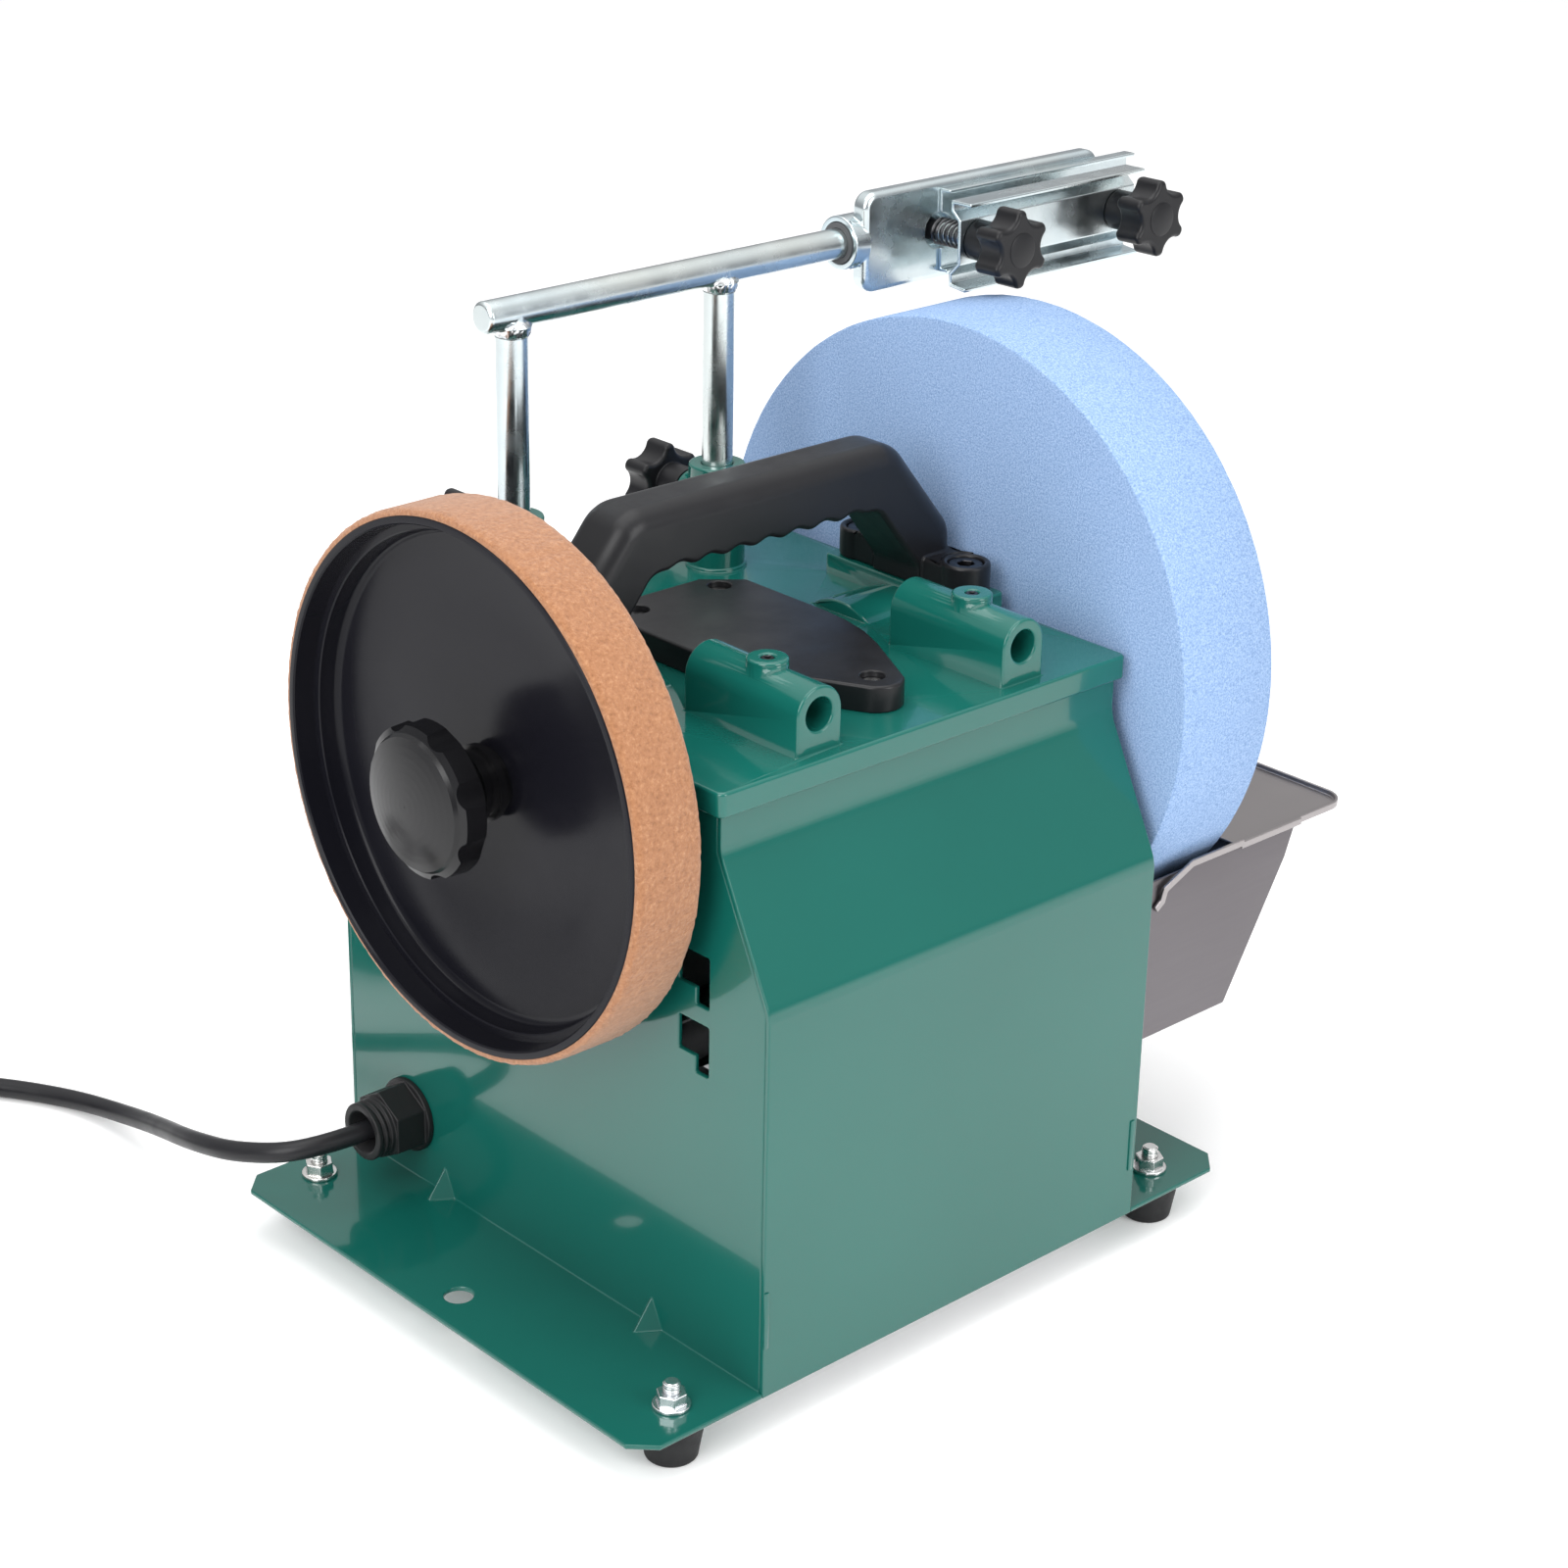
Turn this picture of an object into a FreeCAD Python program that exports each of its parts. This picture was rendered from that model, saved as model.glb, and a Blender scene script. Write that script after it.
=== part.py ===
import FreeCAD, Part
import math
import os

# Water-cooled bench sharpener: a slow 250 mm grindstone on the right, a leather honing
# wheel on the left, both on one shaft through a sheet-steel housing with a cast top.
# Millimetres, +Z up, floor at z = 0, shaft along X at y = 0, front towards -Y.

os.makedirs("parts", exist_ok=True)
V = FreeCAD.Vector
X_AXIS = V(1, 0, 0)
Y_AXIS = V(0, 1, 0)
Z_AXIS = V(0, 0, 1)

# ---------------------------------------------------------------- driving dimensions
running_gap = 0.05          # radial clearance of a shaft in its hole
slide_gap = 0.08            # radial clearance of a bar in its bush or sleeve
free_gap = 0.3              # room between pieces that move past each other

housing_width = 194.0
housing_depth = 243.0
sheet = 2.0                 # thickness of the steel panels
foot_height = 18.0
slope_start_z = 169.0       # where the front and back panels lean in
slope_end_z = 220.0
slope_inset = 25.5
flange_width = 56.0         # out-turned foot flange of each side panel
flange_corner = 8.5
bottom_sheet = 1.5

casting_top_z = 243.5
casting_wall = 4.0
casting_skirt = 9.2         # height of the casting's outer edge
casting_overhang = 3.0

shaft_z = 221.9
shaft_radius = 6.0
bush_radius = 10.0
bearing_radius = 17.0       # cast tube round each shaft bush
bearing_inner_end = 48.0    # distance of its inner end from the middle
hump_radius = 26.5          # half-round swelling of the casting over each bearing

stone_radius = 125.0
stone_width = 50.0
stone_washer = 3.5          # thickness of the washer between casting and stone
clamp_washer = 4.0
stone_nut = 10.0

wheel_gap = 10.6            # from the left panel to the back of the leather wheel
wheel_width = 28.4
wheel_radius = 100.0
leather_thickness = 3.0
dish_depth = 17.0
dish_floor = 3.5
drive_ring_inner = 87.0
drive_ring_outer = 91.0
roller_radius = 6.0

knob_reach = 20.2           # how far the honing knob stands out past the wheel
knob_head = 16.0
knob_radius = 28.0
knob_neck_radius = 12.0

motor_radius = 52.0
motor_length = 118.0
motor_face = 78.0           # distance of the motor's left end from the middle
motor_shaft_radius = 5.0
pivot_y = -70.0
pivot_rise = 9.0            # pivot height above the motor axis
pivot_radius = 5.0

bar_radius = 6.0            # support bar, its legs and the sleeves that take them
sleeve_spacing = 100.0
sleeve_wall = 4.4
front_sleeve_rise = 13.7    # axis of the level sleeves above the casting
front_sleeve_start = -93.0
front_sleeve_length = 58.0
set_boss_radius = 7.5
set_boss_top = 27.0         # above the casting
set_hole_radius = 2.5
back_sleeve_y = 72.3
back_sleeve_wall = 5.1
back_sleeve_top = 41.5      # above the casting
back_sleeve_bottom = 28.5   # below the casting
lock_drop = 15.0            # lock screw below the sleeve's top
lock_boss = 5.0
lock_screw_radius = 3.0

bar_z = 361.6
bar_left = 63.7             # left end of the bar from the middle
bar_right = 141.0
leg_length = 157.0

star_radius = 15.4          # black lobed knobs on the lock screws and the jig
star_head = 13.0
star_neck_radius = 8.0
star_neck = 11.0

jig_tilt = 1.0              # degrees that the jig leans back at rest
jig_mouth = 112.0           # left end of its collar from the middle
jig_collar_wall = 2.5
jig_bush_wall = 2.0
jig_collar_length = 38.0
jig_slab_start = 5.2        # from the collar's mouth
jig_slab_length = 134.0
jig_slab_height = 39.6
jig_slab_thickness = 8.0
jig_slab_front = 9.7        # front face ahead of the bar's axis
jig_slab_corner = 6.5
jig_slab_edge = 2.5
jig_stud_radius = 4.0
jig_stud_first = 45.5       # first stud from the collar's mouth
jig_stud_spacing = 81.5
jaw_sheet = 1.5
jaw_front = 31.0            # middle of the clamp jaw ahead of the bar's axis
rear_jaw_start = 46.0
rear_jaw_end = 155.0
front_jaw_margin = 10.0     # clamp jaw past each stud
clamp_travel = 3.75

trough_sheet = 1.2
trough_gap = 1.4            # from the right panel
trough_bottom_z = 85.8
trough_half_length = 111.4
trough_floor = 58.4         # width of its floor
trough_slope = 0.579        # sideways lean of the outer wall per unit of height
trough_top_z = 152.0
trough_lean_z = 140.0       # where the end walls lean in
trough_lean = 1.5
tray_end = 127.6            # outer edge of the drip tray from the trough's inner wall
tray_gap = 5.6              # from the stone's face to the tray
tray_lip = 1.8
tray_corner = 10.0

handle_half = 87.0          # from the middle to the screws of each foot
handle_top_z = 310.0
handle_bar = 24.0
handle_width = 26.0
handle_pad = 7.9            # height of the cast pads
handle_boss_radius = 9.5
handle_boss = 12.0
handle_screws = 55.0        # spacing of the two screws in a foot

gland_y = 83.0
gland_z = 46.5
cord_radius = 4.0

foot_x = 28.5               # from the side panel out to a foot
foot_y = 105.5
foot_top_radius = 12.5
foot_bottom_radius = 9.5
foot_stud_radius = 3.0
bench_hole_x = 41.0
bench_hole_radius = 5.5

switch_x = -45.0
switch_z = 105.0
switch_width = 30.0
switch_height = 24.0
rocker_radius = 9.0

# ---------------------------------------------------------------- derived places
half_width = housing_width / 2
half_depth = housing_depth / 2
flange_top_z = foot_height + sheet
casting_half_width = half_width + casting_overhang
strip_y = half_depth - slope_inset
casting_half_depth = strip_y + casting_overhang
panel_top_z = casting_top_z - casting_wall
wheel_back = half_width + wheel_gap
wheel_face = wheel_back + wheel_width
knob_face = wheel_face + knob_reach
stone_left = casting_half_width + 0.4 + stone_washer
stone_right = stone_left + stone_width
jig_right = jig_mouth + rear_jaw_end
motor_z = shaft_z - (drive_ring_inner - roller_radius - free_gap)
pivot_z = motor_z + pivot_rise
lock_z = casting_top_z + back_sleeve_top - lock_drop
sleeve_bore = bar_radius + slide_gap

# The housing's middle plane: the origin is under the middle of the whole width.
mid = -(jig_right - knob_face) / 2


# ---------------------------------------------------------------- helpers
def block(x0, x1, y0, y1, z0, z1):
    """Box between two corners, x counted from the housing's middle plane."""
    return Part.makeBox(x1 - x0, y1 - y0, z1 - z0, V(mid + x0, y0, z0))


def rod_x(radius, x0, x1, y, z):
    return Part.makeCylinder(radius, x1 - x0, V(mid + x0, y, z), X_AXIS)


def rod_y(radius, y0, y1, x, z):
    return Part.makeCylinder(radius, y1 - y0, V(mid + x, y0, z), Y_AXIS)


def rod_z(radius, z0, z1, x, y):
    return Part.makeCylinder(radius, z1 - z0, V(mid + x, y, z0), Z_AXIS)


def prism_x(outline, x0, x1):
    """Outline in (y, z), extruded along X."""
    corners = [V(mid + x0, y, z) for y, z in outline]
    return Part.Face(Part.makePolygon(corners + corners[:1])).extrude(V(x1 - x0, 0, 0))


def prism_y(outline, y0, y1):
    """Outline in (x, z), extruded along Y."""
    corners = [V(mid + x, y0, z) for x, z in outline]
    return Part.Face(Part.makePolygon(corners + corners[:1])).extrude(V(0, y1 - y0, 0))


def prism_z(outline, z0, z1):
    """Outline in (x, y), extruded along Z."""
    corners = [V(mid + x, y, z0) for x, y in outline]
    return Part.Face(Part.makePolygon(corners + corners[:1])).extrude(V(0, 0, z1 - z0))


def turned_x(outline, y, z):
    """Outline in (x, radius) turned about an axis along X."""
    corners = [V(mid + x, y, z + radius) for x, radius in outline]
    face = Part.Face(Part.makePolygon(corners + corners[:1]))
    return face.revolve(V(0, y, z), X_AXIS, 360)


def joined(first, *others):
    return first.fuse(list(others)).removeSplitter()


def edges_where(shape, test):
    """Edges whose two ends both pass the test."""
    return [e for e in shape.Edges if len(e.Vertexes) == 2 and all(test(v.Point) for v in e.Vertexes)]


def upright_edges(shape):
    """Straight edges along Z."""
    found = []
    for edge in shape.Edges:
        if len(edge.Vertexes) == 2:
            run = edge.Vertexes[1].Point.sub(edge.Vertexes[0].Point)
            if abs(run.x) + abs(run.y) < 1e-6 and isinstance(edge.Curve, Part.Line):
                found.append(edge)
    return found


def bent_strip(path, thickness):
    """Closed outline of a bent sheet that follows a path with mitred corners."""
    near, far = [], []
    for index, (u, w) in enumerate(path):
        before = path[max(index - 1, 0)]
        after = path[min(index + 1, len(path) - 1)]
        into = (u - before[0], w - before[1])
        out = (after[0] - u, after[1] - w)
        if index == 0:
            into = out
        if index == len(path) - 1:
            out = into
        into_length = math.hypot(*into)
        out_length = math.hypot(*out)
        normal = (-into[1] / into_length - out[1] / out_length,
                  into[0] / into_length + out[0] / out_length)
        half_turn = math.hypot(*normal) / 2
        reach = thickness / 2 / half_turn / math.hypot(*normal)
        near.append((u + normal[0] * reach, w + normal[1] * reach))
        far.append((u - normal[0] * reach, w - normal[1] * reach))
    return near + far[::-1]


def hexagon_prism(across, x, y, z0, z1):
    """Upright hexagonal prism."""
    corner = across / math.sqrt(3)
    turns = [math.radians(60 * n) for n in range(6)]
    outline = [(x + corner * math.cos(turn), y + corner * math.sin(turn)) for turn in turns]
    return prism_z(outline, z0, z1)


def star_head_y(x, y0, z):
    """Lobed knob head along Y from y0, with six finger hollows and rounded lobes."""
    hollow_radius = star_radius * 0.42
    head = rod_y(star_radius, y0, y0 + star_head, x, z)
    for lobe in range(6):
        angle = math.radians(60 * lobe)
        reach = star_radius + hollow_radius * 0.35
        head = head.cut(rod_y(hollow_radius, y0 - 1, y0 + star_head + 1,
                              x + reach * math.cos(angle), z + reach * math.sin(angle)))
    corners = [e for e in head.Edges if len(e.Vertexes) == 2
               and abs(e.Vertexes[1].Point.y - e.Vertexes[0].Point.y) > star_head / 2]
    head = head.makeFillet(2.4, [e for e in corners if isinstance(e.Curve, Part.Line)])
    rims = [e for e in head.Edges if e.BoundBox.YLength < 0.01]
    return head.makeFillet(1.8, rims)


def rounded_loop_y(corners, y):
    """Closed wire in the plane at y from (x, z, radius) corners, each rounded by its radius."""
    entries, exits, arcs = [], [], []
    for index, (x, z, radius) in enumerate(corners):
        here = V(mid + x, y, z)
        before = V(mid + corners[index - 1][0], y, corners[index - 1][1])
        after = V(mid + corners[(index + 1) % len(corners)][0], y, corners[(index + 1) % len(corners)][1])
        back = before.sub(here).normalize()
        ahead_way = after.sub(here).normalize()
        half = back.getAngle(ahead_way) / 2
        reach = radius / math.tan(half)
        entries.append(here.add(V(back).multiply(reach)))
        exits.append(here.add(V(ahead_way).multiply(reach)))
        bisector = V(back).add(ahead_way)
        if radius > 0:
            bisector.normalize()
            middle = here.add(bisector.multiply(radius / math.sin(half) - radius))
            arcs.append(Part.Arc(entries[-1], middle, exits[-1]).toShape())
        else:
            arcs.append(None)
    return entries, exits, arcs


def group(*shapes):
    return Part.makeCompound(list(shapes))


def save(name, shape):
    shape.exportStep("parts/" + name + ".step")


# ---------------------------------------------------------------- housing panels
def slot_cut(side, front, level):
    """Keyhole slot for a trough stud: a wide window with a narrow leg below it."""
    x0, x1 = side * half_width - sheet - 1, side * half_width + sheet + 1
    outer = front * stud_slot_y
    inner = front * (stud_slot_y - slot_leg)
    far = front * (stud_slot_y - slot_window)
    window = block(x0, x1, min(outer, far), max(outer, far), level + slot_leg_height, level + slot_height)
    leg = block(x0, x1, min(outer, inner), max(outer, inner), level, level + slot_leg_height + 0.1)
    return joined(window, leg)


trough_stud_radius = 3.0
slot_leg = 2 * trough_stud_radius + 2 * free_gap
slot_window = 15.5
slot_leg_height = 6.4
slot_height = 19.3
slot_level = 133.4
slot_step = 26.4
stud_slot_y = 90.8


def side_panel(side):
    """Bent sheet: upright wall with the housing's outline and an out-turned flange."""
    inner_half = half_depth - sheet
    strip_inner = strip_y - sheet
    outline = [(-inner_half, foot_height), (inner_half, foot_height), (inner_half, slope_start_z),
               (strip_inner, slope_end_z), (strip_inner, panel_top_z), (-strip_inner, panel_top_z),
               (-strip_inner, slope_end_z), (-inner_half, slope_start_z)]
    wall = prism_x(outline, *sorted((side * half_width, side * (half_width - sheet))))
    edge = half_width + flange_width
    flange = prism_z([(side * (half_width - sheet), -inner_half), (side * half_width, -inner_half),
                      (side * half_width, -half_depth), (side * (edge - flange_corner), -half_depth),
                      (side * edge, flange_corner - half_depth), (side * edge, half_depth - flange_corner),
                      (side * (edge - flange_corner), half_depth), (side * half_width, half_depth),
                      (side * half_width, inner_half), (side * (half_width - sheet), inner_half)],
                     foot_height, flange_top_z)
    panel = joined(wall, flange, *[dart(side, front) for front in (-1, 1)])
    for front in (-1, 1):
        panel = panel.cut(rod_z(foot_stud_radius + free_gap, 0, 40, side * (half_width + foot_x),
                                front * foot_y))
        for level in (slot_level, slot_level + slot_step):
            panel = panel.cut(slot_cut(side, front, level))
    panel = panel.cut(rod_z(bench_hole_radius, 0, 40, side * (half_width + bench_hole_x), 0))
    x0, x1 = sorted((side * (half_width - sheet - 1), side * (half_width + sheet + 1)))
    panel = panel.cut(rod_x(bush_radius, x0, x1, 0, shaft_z))
    if side < 0:
        panel = panel.cut(rod_x(motor_shaft_radius + 6, x0, x1, 0, motor_z))
        panel = panel.cut(rod_x(gland_thread_radius, x0, x1, gland_y, gland_z))
    return panel


def dart(side, front):
    """Pressed triangular stiffener across the bend between wall and flange."""
    y = front * dart_y
    face_x = mid + side * half_width
    base = flange_top_z
    corners = [V(face_x, y - dart_half, base), V(face_x, y + dart_half, base),
               V(face_x, y, base + dart_height), V(face_x + side * dart_reach, y, base)]
    triangles = [(0, 1, 2), (0, 1, 3), (0, 2, 3), (1, 2, 3)]
    faces = [Part.Face(Part.makePolygon([corners[i] for i in t] + [corners[t[0]]])) for t in triangles]
    return Part.makeSolid(Part.makeShell(faces))


dart_y = 61.5
dart_half = 6.0
dart_height = 12.0
dart_reach = 9.0
gland_thread_radius = 9.0


def end_panel(front):
    """Folded sheet that closes the front or the back, from the floor edge up to the casting."""
    outer = [(half_depth, foot_height), (half_depth, slope_start_z), (strip_y, slope_end_z),
             (strip_y, panel_top_z)]
    inner = [(y - sheet, z) for y, z in reversed(outer)]
    return prism_x([(front * y, z) for y, z in outer + inner], -half_width, half_width)


save("side_panel_left", side_panel(-1))
save("side_panel_right", side_panel(1))
save("front_panel", end_panel(-1))
switch_hole = block(switch_x - switch_width / 2, switch_x + switch_width / 2, half_depth - 5, half_depth + 5,
                    switch_z - switch_height / 2, switch_z + switch_height / 2)
save("back_panel", end_panel(1).cut(switch_hole))

bottom = block(-(half_width - sheet), half_width - sheet, -(half_depth - sheet), half_depth - sheet,
               flange_top_z, flange_top_z + bottom_sheet)
vent_pitch = 16.0
for row in (-1, 1):
    for vent in range(-3, 4):
        x, y = vent * vent_pitch, row * 60.0
        bottom = bottom.cut(block(x - 2.5, x + 2.5, y - 20, y + 20, flange_top_z - 1, flange_top_z + 3))
save("bottom_plate", bottom)


# ---------------------------------------------------------------- feet
def foot(x, y):
    """Tapered rubber foot with the hole of its stud."""
    cone = Part.makeCone(foot_bottom_radius, foot_top_radius, foot_height, V(mid + x, y, 0), Z_AXIS)
    return cone.cut(rod_z(foot_stud_radius, 6, foot_height, x, y))


def foot_nut(x, y):
    """Hexagon nut with a pressed washer flange."""
    base = rod_z(7.0, flange_top_z, flange_top_z + 1.5, x, y)
    nut = joined(base, hexagon_prism(10.0, x, y, flange_top_z + 1.5, flange_top_z + 6.0))
    return nut.cut(rod_z(foot_stud_radius, flange_top_z, flange_top_z + 6.0, x, y))


foot_places = {"front_left": (-1, -1), "back_left": (-1, 1), "front_right": (1, -1), "back_right": (1, 1)}
studs, nuts = [], []
for place, (side, front) in foot_places.items():
    x, y = side * (half_width + foot_x), front * foot_y
    save("foot_" + place, foot(x, y))
    stud = rod_z(foot_stud_radius, 6, flange_top_z + 10.2, x, y)
    studs.append(stud.makeChamfer(0.6, [stud.Edges[0]]))
    nuts.append(foot_nut(x, y))
save("foot_studs", group(*studs))
save("foot_nuts", group(*nuts))


# ---------------------------------------------------------------- cast top
def level_sleeve(x):
    """Arched boss along Y with a bore for the support bar's leg and a set-screw boss."""
    radius = sleeve_bore + sleeve_wall - 0.1
    axis_z = casting_top_z + front_sleeve_rise
    y0, y1 = front_sleeve_start, front_sleeve_start + front_sleeve_length
    body = joined(rod_y(radius, y0, y1, x, axis_z),
                  block(x - radius, x + radius, y0, y1, casting_top_z - 1, axis_z))
    return body.fuse(rod_z(set_boss_radius, axis_z, casting_top_z + set_boss_top, x, set_boss_y))


def level_sleeve_holes(x):
    axis_z = casting_top_z + front_sleeve_rise
    bore_end = front_sleeve_start + front_sleeve_length + 1
    bore = rod_y(sleeve_bore, front_sleeve_start - 1, bore_end, x, axis_z)
    return bore.fuse(rod_z(set_hole_radius, axis_z, casting_top_z + set_boss_top + 1, x, set_boss_y))


def upright_sleeve(x):
    """Vertical tube through the casting with a boss for the lock screw at its back."""
    radius = sleeve_bore + back_sleeve_wall
    top_z = casting_top_z + back_sleeve_top
    tube = rod_z(radius, casting_top_z - back_sleeve_bottom, top_z, x, back_sleeve_y)
    collar = rod_z(radius + 1.0, casting_top_z - casting_wall, casting_top_z + 1.5, x, back_sleeve_y)
    boss = rod_y(8.0, back_sleeve_y, back_sleeve_y + radius + lock_boss, x, lock_z)
    return joined(tube, collar, boss)


def upright_sleeve_holes(x):
    bore = rod_z(sleeve_bore, 0, 400, x, back_sleeve_y)
    return bore.fuse(rod_y(lock_screw_radius + running_gap, back_sleeve_y, back_sleeve_y + 40, x, lock_z))


set_boss_y = front_sleeve_start + 26.6
pad_inner = handle_half - 11.0
pad_outer = handle_half + 11.0
pad_half = handle_screws / 2 + handle_boss_radius + 1.5
handle_screw_radius = 4.0

skirt_bottom_z = casting_top_z - casting_skirt
shell = block(-casting_half_width, casting_half_width, -casting_half_depth, casting_half_depth,
              skirt_bottom_z, casting_top_z)
shell = shell.makeFillet(3.0, upright_edges(shell))
shell = shell.makeFillet(1.2, edges_where(shell, lambda p: p.z > casting_top_z - 0.01))
inside = free_gap
shell = shell.cut(block(-half_width - inside, half_width + inside, -strip_y - inside, strip_y + inside,
                        skirt_bottom_z - 1, panel_top_z))
additions = []
for side in (-1, 1):
    x0, x1 = sorted((side * bearing_inner_end, side * (half_width - sheet - 0.5)))
    additions.append(rod_x(bearing_radius, x0, x1, 0, shaft_z))
    additions.append(block(x0, x1, -bearing_radius, bearing_radius, shaft_z, casting_top_z - 1))
    h0, h1 = sorted((side * bearing_inner_end, side * (casting_half_width - 2)))
    hump = rod_x(hump_radius, h0, h1, 0, shaft_z)
    additions.append(hump.common(block(h0, h1, -40, 40, casting_top_z - 1, casting_top_z + 20)))
    p0, p1 = sorted((side * pad_inner, side * pad_outer))
    pad = block(p0, p1, -pad_half, pad_half, casting_top_z - 1, casting_top_z + handle_pad)
    pad = pad.makeFillet(3.0, upright_edges(pad))
    pad = pad.makeFillet(1.0, edges_where(pad, lambda p: p.z > casting_top_z + handle_pad - 0.01))
    additions.append(pad)
    additions.append(level_sleeve(side * sleeve_spacing / 2))
    additions.append(upright_sleeve(side * sleeve_spacing / 2))
casting = joined(shell, *additions)
for side in (-1, 1):
    casting = casting.cut(level_sleeve_holes(side * sleeve_spacing / 2))
    casting = casting.cut(upright_sleeve_holes(side * sleeve_spacing / 2))
    for row in (-1, 1):
        casting = casting.cut(rod_z(handle_screw_radius, casting_top_z - 10, casting_top_z + 20,
                                    side * handle_half, row * handle_screws / 2))
casting = casting.cut(rod_x(bush_radius, -half_width, half_width, 0, shaft_z))

# ---------------------------------------------------------------- cover plate on the casting
cover_x = -4.4
cover_height = 10.0
cover_wall = 2.5
cover_half = 33.0
cover_back = 42.6
cover_tip_y = -73.0
cover_tip_radius = 10.5
cover_screw_radius = 2.0
cover_screws = [(cover_x - 20.3, 32.0), (cover_x + 20.3, 32.0), (cover_x, -71.6)]


def cover_outline(inset):
    """Shield-shaped outline: square at the back, drawn in to a round nose at the front."""
    half = cover_half - inset
    back = cover_back - inset
    nose = cover_tip_radius - inset
    points = [(half - 14, back), (half, back - 12), (half, -14), (half - 1.2, -26), (half - 4, -38),
              (half - 8.5, -49)]
    nose_arc = [(nose * math.cos(math.radians(a)), cover_tip_y + nose * math.sin(math.radians(a)))
                for a in (-20, -38, -56, -74, -90)]
    right = points + nose_arc
    left = [(-x, y) for x, y in reversed(right[:-1])]
    return [(cover_x + x, y) for x, y in right + left]


cover_top_z = casting_top_z + cover_height
cover = prism_z(cover_outline(0), casting_top_z, cover_top_z)
cover = cover.makeFillet(1.2, edges_where(cover, lambda p: p.z > cover_top_z - 0.01))
cover = cover.cut(prism_z(cover_outline(cover_wall), casting_top_z - 1, cover_top_z - cover_wall))
cover_bosses = [rod_z(6.0, casting_top_z, cover_top_z - 1, x, y) for x, y in cover_screws]
cover = joined(cover, *cover_bosses)
screws = []
for x, y in cover_screws:
    cover = cover.cut(rod_z(4.5, cover_top_z - 5, cover_top_z + 1, x, y))
    cover = cover.cut(rod_z(cover_screw_radius + 0.2, casting_top_z - 1, cover_top_z, x, y))
    casting = casting.cut(rod_z(cover_screw_radius, casting_top_z - 6, casting_top_z + 1, x, y))
    screw = joined(rod_z(cover_screw_radius, casting_top_z - 3, cover_top_z - 5, x, y),
                   rod_z(4.0, cover_top_z - 5, cover_top_z - 2.4, x, y))
    screws.append(screw.cut(hexagon_prism(2.5, x, y, cover_top_z - 4, cover_top_z)))
save("top_casting", casting)
save("cover_plate", cover)
save("cover_screws", group(*screws))

# ---------------------------------------------------------------- carrying handle
pad_top_z = casting_top_z + handle_pad
foot_top_z = pad_top_z + handle_boss
foot_half = 10.0
shoulder = handle_half - 22.0
under_z = handle_top_z - handle_bar
under_half = handle_half - 32.0
corners = [(handle_half + foot_half, pad_top_z, 0), (handle_half + foot_half - 1, foot_top_z + 8.6, 12),
           (shoulder, handle_top_z, 16), (-shoulder, handle_top_z, 16),
           (-handle_half - foot_half + 1, foot_top_z + 8.6, 12), (-handle_half - foot_half, pad_top_z, 0),
           (foot_half - handle_half, pad_top_z, 0), (foot_half - handle_half, foot_top_z - 5, 5),
           (-under_half, under_z, 8), (under_half, under_z, 8),
           (handle_half - foot_half, foot_top_z - 5, 5), (handle_half - foot_half, pad_top_z, 0)]
entries, exits, arcs = rounded_loop_y(corners, -handle_width / 2)
scallop_pitch = 14.0
scallop_depth = 1.7
scallop_count = int(2 * (under_half - 5) / scallop_pitch)
scallop_end = scallop_count * scallop_pitch / 2
steps_each = 8
waves = []
for step in range(scallop_count * steps_each + 1):
    x = step * scallop_pitch / steps_each - scallop_end
    rise = scallop_depth / 2 * (1 - math.cos(2 * math.pi * step / steps_each))
    waves.append(V(mid + x, -handle_width / 2, under_z + rise))
fingers = Part.BSplineCurve()
fingers.interpolate(waves)
outline_edges = []
for index in range(len(corners)):
    if arcs[index]:
        outline_edges.append(arcs[index])
    start, end = exits[index], entries[(index + 1) % len(corners)]
    if index == 8:
        outline_edges += [Part.LineSegment(start, waves[0]).toShape(), fingers.toShape(),
                          Part.LineSegment(waves[-1], end).toShape()]
    else:
        outline_edges.append(Part.LineSegment(start, end).toShape())
grip = Part.Face(Part.Wire(Part.__sortEdges__(outline_edges))).extrude(V(0, handle_width, 0))
crown = edges_where(grip, lambda p: p.z > foot_top_z + 4
                    and abs(p.x - mid) < handle_half + foot_half - 0.6)
crown = [e for e in crown if e.BoundBox.YLength < 0.01 and e.BoundBox.ZMax > under_z + 4]
grip = grip.makeFillet(8.0, crown)
belly = edges_where(grip, lambda p: p.z > pad_top_z + 1 and abs(p.x - mid) < handle_half - foot_half + 0.1)
belly = [e for e in belly if e.BoundBox.YLength < 0.01 and e.BoundBox.ZMax < under_z + 4
         and abs(abs(e.BoundBox.YMin) - handle_width / 2) < 0.01]
grip = grip.makeFillet(2.0, belly)
handle_parts, handle_bolts = [], []
for side in (-1, 1):
    x = side * handle_half
    web = block(x - 8.5, x + 8.5, -handle_screws / 2, handle_screws / 2, pad_top_z, foot_top_z - 1)
    handle_parts.append(web)
    for row in (-1, 1):
        handle_parts.append(rod_z(handle_boss_radius, pad_top_z, foot_top_z, x, row * handle_screws / 2))
handle = joined(grip, *handle_parts)
for side in (-1, 1):
    for row in (-1, 1):
        x, y = side * handle_half, row * handle_screws / 2
        handle = handle.cut(rod_z(handle_screw_radius + 0.3, pad_top_z - 1, foot_top_z + 1, x, y))
        handle = handle.cut(rod_z(6.9, foot_top_z - 7, foot_top_z + 30, x, y))
        bolt = joined(rod_z(handle_screw_radius, casting_top_z - 2, foot_top_z - 7, x, y),
                      rod_z(6.5, foot_top_z - 7, foot_top_z - 1, x, y))
        handle_bolts.append(bolt.cut(hexagon_prism(6.0, x, y, foot_top_z - 5, foot_top_z)))
save("handle", handle)
save("handle_screws", group(*handle_bolts))

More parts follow.
